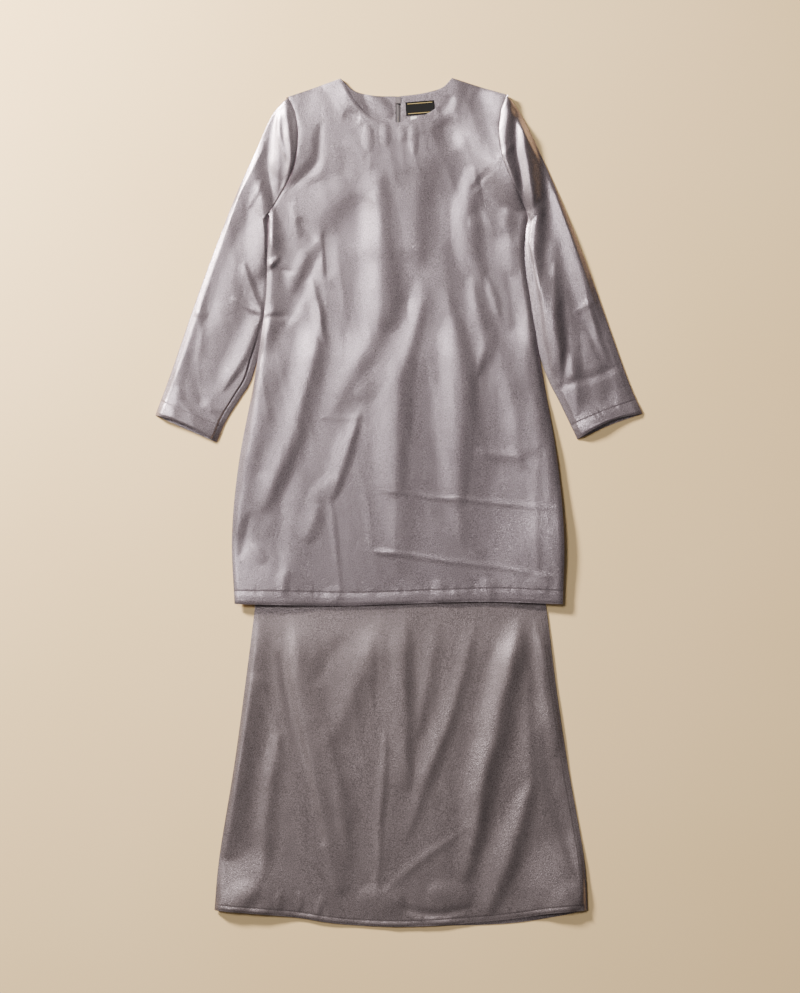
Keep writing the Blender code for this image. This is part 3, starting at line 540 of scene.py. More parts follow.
def at_least(value, floor, softness=1.2):
    """The value, held softly above a floor."""
    over = value - floor
    return floor + 0.5 * (over + np.sqrt(over * over + softness * softness))


def skirt_half_widths(y):
    """How far the skirt reaches left and right at each height."""
    levels = np.array([level.y for level in SKIRT_SIDES], dtype=float)
    left = np.interp(y, levels, [level.left for level in SKIRT_SIDES])
    right = np.interp(y, levels, [level.right for level in SKIRT_SIDES])
    return left, right


def neck_zone(x, y):
    """1 round the neck, falling to 0 further out."""
    distance = np.hypot(x - NECK_CENTRE[0], y - NECK_CENTRE[1])
    return 1.0 - smoothstep(NECK_PLATEAU, NECK_REACH, distance)


def tunic_side(side):
    """Side seam of the tunic on one side, from the hem up to the underarm."""
    sign = -1.0 if side == "left" else 1.0
    points = [(sign * getattr(level, side), SHOULDER_POINT_Y - level.drop) for level in TUNIC_SIDES]
    return smooth_line(points)


def over_sleeve(x, y):
    """How far the tunic's side is lifted by the sleeve whose edge lies under it."""
    total = np.zeros(x.shape)
    for side in ("left", "right"):
        distance, _, _ = distance_to(tunic_side(side)[::4], x, y)
        along = smoothstep(255.0, 300.0, y) * (1.0 - smoothstep(455.0, 492.0, y))
        total += 2.5 * (1.0 - smoothstep(6.0, 34.0, distance)) * along
    return total


def tunic_lift(x, y):
    """Height of the tunic's underside over the floor."""
    left, right = skirt_half_widths(y)
    beside = np.maximum(np.maximum(-x - left, x - right), 0.0)
    above = np.maximum(y - WAIST_TOP_Y, 0.0)
    outside = np.hypot(beside, above)
    over_skirt = OVER_SKIRT * (1.0 - smoothstep(SKIRT_LIFT_START, SKIRT_LIFT_END, outside))
    lift = over_skirt + UNDER_ZIP * neck_zone(x, y) + rise_height(TUNIC_RISES, x, y)
    return lift + over_sleeve(x, y)


def back_relief(x, y):
    """Creases of the back panels, which press down to nothing at the neck."""
    creases = crease_height(BACK_CREASES, x, y, 41)
    return np.maximum(creases + 0.4 + 0.4 * drape_noise(x, y, 47), 0.0) * (1.0 - neck_zone(x, y))


def front_height(x, y):
    """Underside of the tunic's front panel, before its edges are drawn down."""
    off_centre = np.abs(x - CENTRE_BACK_X)
    zip_end = ZIP_TOP_Y - ZIP_LENGTH
    over_zip = (1.0 - smoothstep(28.0, 75.0, off_centre)) * smoothstep(zip_end - 75.0, zip_end - 38.0, y)
    air = np.maximum(2.9 * neck_zone(x, y), 1.6 * over_zip) + rise_height(NECK_RISES, x, y)
    floor = tunic_lift(x, y) + SOLID_WALL + LAYER_GAP + air
    return floor + at_least(LOOSENESS + tunic_relief(x, y), 0.0)


def to_frame(points):
    """Points of the drawing in the frame, in metres."""
    return (np.asarray(points, dtype=float) + (SHIFT_X, SHIFT_Y, 0.0)) * MM


def placed(name, data):
    """A new object in the scene with the given mesh, light or camera."""
    thing = bpy.data.objects.new(name, data)
    bpy.context.scene.collection.objects.link(thing)
    return thing


def mesh_piece(name, vertices, faces, look, sharp_deg=None):
    """Smoothly shaded object with the given mesh, in the frame; edges over an angle may stay sharp."""
    mesh = bpy.data.meshes.new(name)
    mesh.from_pydata(to_frame(vertices).tolist(), [], faces)
    shape = bmesh.new()
    shape.from_mesh(mesh)
    bmesh.ops.recalc_face_normals(shape, faces=shape.faces)
    shape.to_mesh(mesh)
    shape.free()
    mesh.shade_smooth()
    if sharp_deg:
        mesh.set_sharp_from_angle(angle=math.radians(sharp_deg))
    mesh.materials.append(look)
    return placed(name, mesh)


def grid_faces(rows, columns, start=0, closed=False):
    """Faces of a grid whose points are numbered row by row; closed joins its last column to its first."""
    wide = columns if closed else columns - 1
    row, column = np.meshgrid(np.arange(rows - 1), np.arange(wide), indexing="ij")
    following = (column + 1) % columns
    corners = (
        row * columns + column,
        row * columns + following,
        (row + 1) * columns + following,
        (row + 1) * columns + column,
    )
    return np.stack(corners, axis=-1).reshape(-1, 4) + start


def tube_faces(base, rings, sides):
    """Faces of a closed tube whose rings of points are numbered from the base on."""
    ends = [[start + corner for corner in range(sides)] for start in (base, base + (rings - 1) * sides)]
    return grid_faces(rings, sides, base, closed=True).tolist() + ends


def wall(name, plan, low, high, look):
    """Closed thin wall over a plan grid, between the heights of its lower and its upper face."""
    rows, columns = plan.shape[:2]
    high = np.maximum(high, low + THINNEST)
    count = rows * columns
    flat = plan.reshape(-1, 2)
    lower = np.column_stack([flat, low.reshape(-1)])
    upper = np.column_stack([flat, high.reshape(-1)])
    index = np.arange(count).reshape(rows, columns)
    rim = np.concatenate([index[0], index[1:, -1], index[-1, -2::-1], index[-2:0:-1, 0]])
    beyond = np.roll(rim, -1)
    sides = np.stack([rim, beyond, beyond + count, rim + count], axis=-1)
    faces = np.concatenate([grid_faces(rows, columns), grid_faces(rows, columns, count), sides])
    return mesh_piece(name, np.vstack([lower, upper]), faces.tolist(), look, 50.0)


def node_input(node, name, value):
    """Sets one input of a node by its name."""
    node.inputs[name].default_value = value


class Look:
    """A Principled material that is built up node by node."""

    def __init__(self, name, roughness, metallic=0.0):
        self.material = bpy.data.materials.new(name)
        self.material.use_nodes = True
        self.tree = self.material.node_tree
        self.shader = self.tree.nodes["Principled BSDF"]
        node_input(self.shader, "Roughness", roughness)
        node_input(self.shader, "Metallic", metallic)
        self.coordinates = self.add("ShaderNodeTexCoord").outputs["Object"]

    def add(self, kind, **settings):
        """A new node with its settings."""
        node = self.tree.nodes.new(kind)
        for key, value in settings.items():
            setattr(node, key, value)
        return node

    def link(self, output, target):
        """Joins an output to an input."""
        self.tree.links.new(output, target)

    def stretched(self, scale, turn_deg=0.0):
        """Object coordinates, scaled and turned about the vertical."""
        mapping = self.add("ShaderNodeMapping")
        node_input(mapping, "Scale", scale)
        node_input(mapping, "Rotation", (0.0, 0.0, math.radians(turn_deg)))
        self.link(self.coordinates, mapping.inputs["Vector"])
        return mapping.outputs["Vector"]

    def noise(self, scale, detail, vector=None):
        """Noise with features of about one over its scale, in metres."""
        node = self.add("ShaderNodeTexNoise")
        node_input(node, "Scale", scale)
        node_input(node, "Detail", detail)
        self.link(vector or self.coordinates, node.inputs["Vector"])
        return node.outputs["Fac"]

    def wave(self, scale, turn_deg, distortion=0.0):
        """Straight bands, turned about the vertical."""
        node = self.add("ShaderNodeTexWave")
        node_input(node, "Scale", scale)
        node_input(node, "Distortion", distortion)
        self.link(self.stretched((1.0, 1.0, 1.0), turn_deg), node.inputs["Vector"])
        return node.outputs["Fac"]

    def ramp(self, value, stops):
        """Colours at places from 0 to 1."""
        node = self.add("ShaderNodeValToRGB")
        first, last = node.color_ramp.elements
        first.position, first.color = stops[0][0], (*stops[0][1], 1.0)
        last.position, last.color = stops[-1][0], (*stops[-1][1], 1.0)
        for place, colour in stops[1:-1]:
            node.color_ramp.elements.new(place).color = (*colour, 1.0)
        self.link(value, node.inputs["Fac"])
        return node.outputs["Color"]

    def spread(self, value, low, high):
        """A value from 0 to 1 mapped to a range."""
        node = self.add("ShaderNodeMapRange")
        node_input(node, "To Min", low)
        node_input(node, "To Max", high)
        self.link(value, node.inputs["Value"])
        return node.outputs["Result"]

    def product(self, first, second):
        """Two values multiplied."""
        node = self.add("ShaderNodeMath", operation="MULTIPLY")
        self.link(first, node.inputs[0])
        self.link(second, node.inputs[1])
        return node.outputs["Value"]

    def blend(self, first, second):
        """Two colours multiplied."""
        node = self.add("ShaderNodeMix", data_type="RGBA", blend_type="MULTIPLY")
        sockets = [socket for socket in node.inputs if socket.type == "RGBA"]
        node.inputs[0].default_value = 1.0
        self.link(first, sockets[0])
        self.link(second, sockets[1])
        return next(socket for socket in node.outputs if socket.type == "RGBA")

    def bump(self, height, distance, strength=1.0, normal=None):
        """Normals of a height that is given in metres."""
        node = self.add("ShaderNodeBump")
        node_input(node, "Distance", distance)
        node_input(node, "Strength", strength)
        self.link(height, node.inputs["Height"])
        if normal:
            self.link(normal, node.inputs["Normal"])
        return node.outputs["Normal"]


def satin(name, colour, dark, metallic, roughness):
    """Satin: a fine twill with a soft shine, its tone a little uneven."""
    look = Look(name, roughness, metallic)
    tone = look.ramp(look.noise(14.0, 3.0), ((0.3, dark), (0.7, colour)))
    sparkle = look.ramp(look.noise(740.0, 1.0), ((0.34, (0.62, 0.62, 0.62)), (0.66, (1.45, 1.45, 1.45))))
    look.link(look.blend(tone, sparkle), look.shader.inputs["Base Color"])
    uneven = look.noise(90.0, 2.0, look.stretched((1.0, 0.4, 1.0)))
    look.link(look.spread(uneven, roughness - 0.05, roughness + 0.05), look.shader.inputs["Roughness"])
    node_input(look.shader, "Sheen Weight", 0.12)
    node_input(look.shader, "Sheen Roughness", 0.35)
    rib = look.wave(190.0, 58.0, 1.5)
    fleck = look.noise(640.0, 2.0, look.stretched((1.0, 0.8, 1.0), 24.0))
    weave = look.bump(look.product(rib, fleck), 0.00015, 0.6)
    look.link(look.bump(fleck, 0.00028, 1.0, weave), look.shader.inputs["Normal"])
    return look.material


def woven(name, colour, dark, roughness=0.8, scale=700.0, gloss=0.5):
    """Plain woven tape or label."""
    look = Look(name, roughness)
    node_input(look.shader, "Specular IOR Level", gloss)
    threads = look.wave(scale / 3.2, 0.0)
    across = look.wave(scale / 3.2, 90.0)
    both = look.product(threads, across)
    look.link(look.ramp(both, ((0.0, dark), (0.8, colour))), look.shader.inputs["Base Color"])
    look.link(look.bump(both, 0.0001, 0.6), look.shader.inputs["Normal"])
    return look.material


def metal(name, colour):
    """Cast zinc, lacquered in the tone of the cloth, with fine wear."""
    look = Look(name, 0.28, 0.35)
    wear = look.noise(900.0, 4.0)
    dull = tuple(0.72 * part for part in colour)
    look.link(look.ramp(wear, ((0.35, dull), (0.6, colour))), look.shader.inputs["Base Color"])
    look.link(look.spread(wear, 0.2, 0.42), look.shader.inputs["Roughness"])
    return look.material


def floor_cloth():
    """Pale cream floor with a hint of weave."""
    look = Look("floor", 0.92)
    tone = look.noise(1.3, 2.0)
    look.link(look.ramp(tone, ((0.3, (0.83, 0.59, 0.298)), (0.7, (0.87, 0.63, 0.336)))),
              look.shader.inputs["Base Color"])
    look.link(look.bump(look.noise(420.0, 3.0), 0.0002, 0.25), look.shader.inputs["Normal"])
    return look.material


TUNIC_SATIN = satin("tunic_satin", (0.345, 0.288, 0.321), (0.315, 0.262, 0.294), 0.82, 0.31)
# The skirt's satin is made darker than the tunic's as painted shade for the light that falls off towards the
# skirt.
SHADED_SKIRT_SATIN = satin("skirt_satin", (0.279, 0.230, 0.241), (0.254, 0.209, 0.219), 0.82, 0.37)
# The zip tape is coloured dark as painted shade: it stands for the shadow along the facing edges beside the
# coil.
SHADOW_ZIP_TAPE = woven("zip_tape", (0.10, 0.085, 0.092), (0.04, 0.036, 0.04))
ZIP_COIL = woven("zip_coil", (0.24, 0.21, 0.225), (0.15, 0.13, 0.14), 0.45)
ZIP_METAL = metal("zip_metal", (0.22, 0.19, 0.203))
LABEL_CLOTH = woven("label", (0.014, 0.013, 0.013), (0.005, 0.005, 0.005), 0.9, 900.0, 0.15)
LABEL_BORDER = woven("label_border", (0.52, 0.40, 0.16), (0.28, 0.20, 0.07), 0.5, 900.0)
TAB_CLOTH = woven("size_tab", (0.80, 0.79, 0.76), (0.60, 0.59, 0.57), 0.7)
# Both threads are coloured dark as painted shade: their colour stands for the shade of the stitches where
# they sink into the cloth.
STITCH_SHADE = woven("thread", (0.12, 0.10, 0.105), (0.06, 0.05, 0.055), 0.7, 700.0, 0.2)
SKIRT_STITCH_SHADE = woven("skirt_thread", (0.09, 0.075, 0.08), (0.05, 0.04, 0.045), 0.7, 700.0, 0.2)


def dress(piece, slot, *nodes, body="garment"):
    """Puts a piece on its body, in place of the solids it stands for; the slot argument is not used."""
    if nodes:
        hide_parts(*nodes)
    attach(piece, body)
    return piece


def row_shares(length, turn, step):
    """Row places over a length, close together at the edge and at the hem's stitch line."""
    fine = [0.0, 1.2, 2.6, 4.2]
    fine += list(np.linspace(4.2, turn - 2.2, max(2, int((turn - 6.0) / 3.0)))[1:])
    fine += [turn - 1.1, turn, turn + 1.1, turn + 2.4, turn + 5.0]
    above = turn + 5.0
    even = np.linspace(above, length, int((length - above) / step) + 2)[1:]
    return np.concatenate([fine, even]) / length


def hem_profile(from_edge, turn, x):
    """Height that a turned-up hem adds, drawn down along its stitches, with their small puckers."""
    below = turn - from_edge
    sunk = -STITCH_SINK * np.where(below > 0.0, 1.0, 1.0 - smoothstep(0.0, 1.2, -below))
    turned = (STITCH_SINK + HEM_THICKENING) * smoothstep(0.0, min(9.0, 0.6 * turn), below)
    rounded = -1.1 * (1.0 - smoothstep(0.0, min(HEM_ROLL, 0.45 * turn), from_edge))
    near_stitches = np.exp(-(((from_edge - turn) / 7.0) ** 2))
    pucker = 0.42 * soft_noise(x / 6.0, from_edge / 26.0, 77) * near_stitches
    wave = 0.5 * soft_noise(x / 42.0, from_edge / 40.0, 79) * (1.0 - smoothstep(0.5 * turn, turn, from_edge))
    return sunk + turned + rounded + pucker + wave


def tunic_edge(side, step):
    """Side seam and armhole of the tunic on one side, cut into rows."""
    seam_line = tunic_side(side)
    shares = row_shares(SIDE_SEAM_LENGTH, TUNIC_HEM_TURN, step)
    seam = evenly(seam_line, shares)
    armhole_points = (tuple(seam[-1]),) + TUNIC_ARMHOLE[side] + (TUNIC_SHOULDER[side],)
    return joined(seam, edge(armhole_points, int(ARMHOLE_LENGTH / step)))


def armhole_line(side):
    """The armhole seam of one side, from the underarm to the shoulder tip."""
    underarm = tuple(tunic_side(side)[-1])
    return smooth_line((underarm,) + TUNIC_ARMHOLE[side] + (TUNIC_SHOULDER[side],), 10)


def seam_dip(x, y, depth=1.3, width=2.6):
    """How far the cloth is drawn down into the armhole and shoulder seams."""
    total = np.zeros(x.shape)
    for side in ("left", "right"):
        armhole, _, _ = distance_to(armhole_line(side), x, y)
        shoulder_line = np.array([TUNIC_SHOULDER[side], HIGH_SHOULDER[side]], dtype=float)
        shoulder, _, _ = distance_to(shoulder_line, x, y)
        nearest = np.minimum(armhole, shoulder)
        total = np.maximum(total, depth * np.exp(-((nearest / width) ** 2)))
        pucker = 0.35 * soft_noise(x / 11.0, y / 11.0, 91) * np.exp(-((armhole / 12.0) ** 2))
        total = total + pucker
    return total


def side_dip(x, y):
    """How far the front is drawn down to meet the back at the side seams."""
    total = np.zeros(x.shape)
    for side in ("left", "right"):
        distance, _, _ = distance_to(tunic_side(side)[::3], x, y)
        total += np.exp(-((distance / 3.6) ** 2))
    return np.minimum(total, 1.0)


def make_tunic_front():
    """Front panel with its scooped, faced neckline and its stitched hem."""
    left = tunic_edge("left", STEP)
    right = tunic_edge("right", STEP)
    shoulder_cells, neck_cells = 27, 108
    neck = edge((HIGH_SHOULDER["left"],) + FRONT_NECK + (HIGH_SHOULDER["right"],), neck_cells)
    left_shoulder = edge((TUNIC_SHOULDER["left"], HIGH_SHOULDER["left"]), shoulder_cells)
    right_shoulder = edge((HIGH_SHOULDER["right"], TUNIC_SHOULDER["right"]), shoulder_cells)
    top = joined(left_shoulder, neck, right_shoulder)
    hem = edge((tuple(left[0]),) + TUNIC_HEM + (tuple(right[0]),), len(top) - 1)
    lengths = travelled(left)
    plan = patch(hem, top, left, right, lengths / lengths[-1])
    x, y = plan[..., 0], plan[..., 1]
    from_hem = np.broadcast_to(lengths[:, None], x.shape)
    lowest = tunic_lift(x, y) + CLOTH + 0.25
    neck_distance, _, _ = distance_to(neck, x, y)
    neck_roll = -0.15 - 0.4 * (1.0 - smoothstep(-40.0, 20.0, x))
    neck_roll = neck_roll * np.exp(-((neck_distance / 2.0) ** 2))
    facing_edge = 0.35 * (1.0 - smoothstep(26.0, 34.0, neck_distance))
    height = front_height(x, y) + neck_roll + facing_edge
    drawn = side_dip(x, y)
    height = height * (1.0 - 0.85 * drawn) + lowest * 0.85 * drawn
    low = np.maximum(height - 0.4 * seam_dip(x, y), lowest)
    high = low + CLOTH + hem_profile(from_hem, TUNIC_HEM_TURN, x)
    piece = dress(wall("cloth_tunic_front", plan, low, high, TUNIC_SATIN), "tunic_satin", "tunic_front")
    stitch_row = int(np.argmin(np.abs(lengths - TUNIC_HEM_TURN)))
    line = np.column_stack([plan[stitch_row], high[stitch_row] + 0.05])
    return piece, plan, line


def centre_back_line(side, hem_y, rows):
    """Centre-back edge of one back panel: a seam below, a slot for the zip above."""
    sign = -1.0 if side == "left" else 1.0
    y = hem_y + (BACK_NECK_Y - hem_y) * rows
    in_slot = y > ZIP_TOP_Y - ZIP_LENGTH
    clear = np.where(in_slot, ZIP_SLOT / 2, 0.1)
    return np.column_stack([CENTRE_BACK_X + sign * clear, y])


def back_plan(side, step, shoulder_cells, neck_cells):
    """Plan grid of one back panel, from the outer edge (first column) to the centre back."""
    outer = tunic_edge(side, step)
    lengths = travelled(outer)
    rows = lengths / lengths[-1]
    corners = [tuple(tunic_side(each)[0]) for each in ("left", "right")]
    whole_hem = smooth_line((corners[0],) + TUNIC_HEM + (corners[1],))
    hem_y = float(np.interp(CENTRE_BACK_X, whole_hem[:, 0], whole_hem[:, 1]))
    centre = centre_back_line(side, hem_y, rows)
    shoulder = edge((TUNIC_SHOULDER[side], HIGH_SHOULDER[side]), shoulder_cells)
    neck = edge((HIGH_SHOULDER[side],) + BACK_NECK[side] + (tuple(centre[-1]),), neck_cells)
    top = joined(shoulder, neck)
    reach = np.linspace(outer[0][0], centre[0][0], len(top))
    hem = np.column_stack([reach, np.interp(reach, whole_hem[:, 0], whole_hem[:, 1])])
    return patch(hem, top, outer, centre, rows), lengths


def make_back(side):
    """One back panel, and on its inside half of the back neck facing."""
    plan, lengths = back_plan(side, 6.0, 16, 44)
    x, y = plan[..., 0], plan[..., 1]
    low = tunic_lift(x, y) + back_relief(x, y)
    from_hem = np.broadcast_to(lengths[:, None], x.shape)
    low = low + 0.25 * np.exp(-(((from_hem - TUNIC_HEM_TURN) / 1.2) ** 2))
    room = front_height(x, y) - CLOTH - 0.3
    high = np.minimum(low + CLOTH, np.maximum(room, low + 0.3))
    name = f"tunic_back_{side}"
    panel = dress(wall(f"cloth_{name}", plan, low, high, TUNIC_SATIN), "tunic_satin", name)
    fine, _ = back_plan(side, 3.0, 20, 60)
    facing = fine[-20:, 20:].copy()
    sign = -1.0 if side == "left" else 1.0
    inner_edge = CENTRE_BACK_X + sign * (ZIP_SLOT / 2 + TAPE_WIDTH + SEAM_GAP)
    facing[..., 0] = sign * np.maximum(sign * facing[..., 0], sign * inner_edge)
    fx, fy = facing[..., 0], facing[..., 1]
    neck_distance, _, _ = distance_to(facing[-1], fx, fy)
    roll = -0.35 * np.exp(-((neck_distance / 1.6) ** 2))
    under_stitch = -0.22 * np.exp(-(((neck_distance - 4.0) / 0.9) ** 2))
    seat = tunic_lift(fx, fy) + SOLID_WALL + SEAM_GAP
    soft = 0.22 * soft_noise(fx / 14.0, fy / 22.0, 63)
    swell = crease_height(FACING_SWELLS, fx, fy, 65, round_top=True)
    high = seat + SOLID_WALL + roll + under_stitch + np.minimum(soft, 0.0) + swell
    name = f"back_facing_{side}"
    lining = dress(wall(f"cloth_{name}", facing, seat, high, TUNIC_SATIN), "tunic_satin", name)
    return panel, plan, lining, facing


def sleeve_plan(side, cap_rows, arm_step):
    """Plan grid of one sleeve, from armhole to cuff and from its outer to its inner edge."""
    underarm = tuple(tunic_side(side)[-1])
    armhole_points = (underarm,) + TUNIC_ARMHOLE[side] + (TUNIC_SHOULDER[side],)
    columns = SLEEVE_COLUMNS
    armhole = edge(armhole_points, columns)[::-1].copy()
    sign = -1.0 if side == "left" else 1.0
    armhole[:, 0] += sign * 0.3
    outer = smooth_line((tuple(armhole[0]),) + SLEEVE_OUTER[side])
    inner = smooth_line((tuple(armhole[-1]),) + SLEEVE_INNER[side])
    outer_length = travelled(outer)[-1]
    inner_length = travelled(inner)[-1]
    outer_cap = evenly(outer, np.linspace(0.0, CAP_OUTER_SHARE, cap_rows + 1))
    inner_cap = evenly(inner, np.linspace(0.0, CAP_INNER_SHARE, cap_rows + 1))
    from_cuff = row_shares(outer_length * (1.0 - CAP_OUTER_SHARE), CUFF_HEM_TURN, arm_step)
    outer_arm = evenly(outer, 1.0 - from_cuff[::-1] * (1.0 - CAP_OUTER_SHARE))
    hem_share = CUFF_HEM_TURN / (inner_length * (1.0 - CAP_INNER_SHARE))
    stitch = CUFF_HEM_TURN / (outer_length * (1.0 - CAP_OUTER_SHARE))
    inner_shares = np.interp(from_cuff, [0.0, stitch, 1.0], [0.0, hem_share, 1.0])
    inner_arm = evenly(inner, 1.0 - inner_shares[::-1] * (1.0 - CAP_INNER_SHARE))
    spread = np.interp(np.linspace(0.0, 1.0, columns + 1), [0.0, 8 / 9, 1.0], [0.0, 0.73, 1.0])
    bicep = evenly(np.array([outer_cap[-1], inner_cap[-1]]), spread)
    cuff = edge((tuple(outer[-1]), CUFF_DROP[side], tuple(inner[-1])), columns)
    cap = patch(armhole, bicep, outer_cap, inner_cap)
    arm = patch(bicep, cuff, outer_arm, inner_arm)
    plan = np.concatenate([cap, arm[1:]])
    lengths = travelled(plan[:, 0])
    return plan, lengths


def sleeve_seam_groove(across, width, y):
    """The underarm seam, which shows on the front of the left sleeve."""
    from_seam = (1.0 - across) * width - SLEEVE_SEAM_INSET
    shown = 1.0 - smoothstep(225.0, 330.0, y)
    groove = -0.7 * np.exp(-(((from_seam + 0.8) / 1.2) ** 2))
    step = 1.3 * smoothstep(-1.0, 1.0, from_seam) * np.exp(-np.maximum(from_seam, 0.0) / 30.0)
    return (groove + step) * shown


def sleeve_rings(side, plan, lengths, inward):
    """Closed rings of the flattened sleeve, moved in from its outer face by the given wall."""
    rows, columns = plan.shape[:2]
    widths = np.linalg.norm(plan[:, -1] - plan[:, 0], axis=1)
    shares = np.linspace(0.0, 1.0, columns)
    turn = 1.3
    rings = []
    from_cuff = lengths[-1] - lengths
    down = lengths / lengths[-1]
    for index in range(rows):
        rim = inward / widths[index]
        shoulder = (inward + turn) / widths[index]
        across = np.concatenate([[rim, rim + 0.3 * shoulder], np.linspace(shoulder, 1 - shoulder, columns)])
        across = np.concatenate([across, [1 - rim - 0.3 * shoulder, 1 - rim]])
        across = np.sort(np.concatenate([across, 1.0 - (SLEEVE_SEAM_INSET + SEAM_SAMPLES) / widths[index]]))
        flat = np.column_stack([np.interp(across, shares, plan[index, :, axis]) for axis in (0, 1)])
        rings.append((flat, across, down[index], from_cuff[index]))
    plan_x = np.array([ring[0][:, 0] for ring in rings])
    plan_y = np.array([ring[0][:, 1] for ring in rings])
    across = np.array([ring[1] for ring in rings])
    down = np.array([ring[2] for ring in rings])[:, None]
    from_cuff = np.array([ring[3] for ring in rings])[:, None]
    creases = tunic_relief(plan_x, plan_y)
    arch = np.sin(math.pi * np.clip(across, 0.0, 1.0))
    flat_edges = np.clip(arch * 4.0, 0.0, 1.0)
    lean = SLEEVE_LEAN[side]
    leaning = np.sin(math.pi * np.clip(across, 0.0, 1.0) ** lean.power)
    belly = lean.height * leaning * smoothstep(0.0, 0.2, down)
    mouth = CUFF_MOUTH * arch**0.7 * (1.0 - smoothstep(0.0, 60.0, from_cuff))
    at_body = front_height(plan_x, plan_y) + CLOTH - seam_dip(plan_x, plan_y)
    own = 1.6 + at_least(creases + LOOSENESS + belly, 0.0) * flat_edges + mouth
    own = own + hem_profile(np.broadcast_to(from_cuff, own.shape), CUFF_HEM_TURN, plan_x + plan_y)
    if side == "left":
        own = own + sleeve_seam_groove(across, widths[:, None], plan_y)
    own = np.maximum(own, 2 * CLOTH + THINNEST)
    join = smoothstep(0.0, 0.07, down)
    top = at_body * (1 - join) + own * join
    bottom_relief = 0.5 * np.clip(0.4 + drape_noise(plan_x, plan_y, 57), 0.0, 1.0) * flat_edges
    bottom = tunic_lift(plan_x, plan_y) * (1 - join) + bottom_relief * join
    middle = 0.5 * (top + bottom)
    rim_shape = np.ones(across.shape[1])
    rim_shape[[0, -1]] = 0.0
    rim_shape[[1, -2]] = 0.72
    upper = middle + (top - inward - middle) * rim_shape
    lower = middle + (bottom + inward - middle) * rim_shape
    peek = CUFF_PEEK * arch * (1.0 - smoothstep(0.0, 14.0, from_cuff))
    over = np.stack([plan_x, plan_y + peek, upper], axis=-1)
    under = np.stack([plan_x, plan_y, lower], axis=-1)
    return np.concatenate([over, under[:, -2:0:-1]], axis=1)


def make_sleeve(side):
    """One sleeve: a flattened tube of cloth, open at the armhole and at the cuff."""
    plan, lengths = sleeve_plan(side, CAP_ROWS, STEP)
    outside = sleeve_rings(side, plan, lengths, 0.0)
    inside = sleeve_rings(side, plan, lengths, CLOTH)
    rings = np.concatenate([outside, inside[::-1]])
    rows, size = rings.shape[:2]
    faces = grid_faces(rows, size, closed=True)
    last = np.arange(size) + (rows - 1) * size
    first = np.arange(size)
    cap = np.stack([last, np.roll(last, -1), np.roll(first, -1), first], axis=-1)
    faces = np.concatenate([faces, cap])
    piece = mesh_piece(f"cloth_sleeve_{side}", rings.reshape(-1, 3), faces.tolist(), TUNIC_SATIN, 60.0)
    dress(piece, "tunic_satin", f"sleeve_{side}")
    from_cuff = lengths[-1] - lengths
    stitch_row = int(np.argmin(np.abs(from_cuff - CUFF_HEM_TURN)))
    count = plan.shape[1] + 4 + len(SEAM_SAMPLES)
    line = outside[stitch_row, 2:count - 2] + (0.0, 0.0, 0.05)
    return piece, plan, line


def skirt_side(side):
    """Side seam of the skirt on one side, from the hem up to the waistband."""
    sign = -1.0 if side == "left" else 1.0
    return smooth_line([(sign * getattr(level, side), level.y) for level in SKIRT_SIDES])


def skirt_plan(hem_points, rows, columns):
    """Plan grid of a skirt panel with the given row and column places."""
    left = evenly(skirt_side("left"), rows)
    right = evenly(skirt_side("right"), rows)
    hem = evenly(smooth_line((tuple(left[0]),) + hem_points + (tuple(right[0]),)), columns)
    top = evenly(np.array([left[-1], right[-1]]), columns)
    return patch(hem, top, left, right, rows, columns)


def waist_gathers(x, y):
    """Small upright gathers below the elastic waistband."""
    fade = smoothstep(60.0, WAISTBAND_Y, y)
    return 0.55 * fade * (0.5 + 0.5 * np.sin(x / 2.6 + 1.5 * soft_noise(x / 12.0, y / 60.0, 83)))


def skirt_seam_groove(x, y):
    """The right side seam, which lies a little way in from the edge."""
    line = skirt_side("right")[::3] - (SKIRT_SEAM_INSET, 0.0)
    distance, _, beyond = distance_to(line, x, y)
    return -0.5 * smoothstep(-0.8, 0.8, distance * beyond)


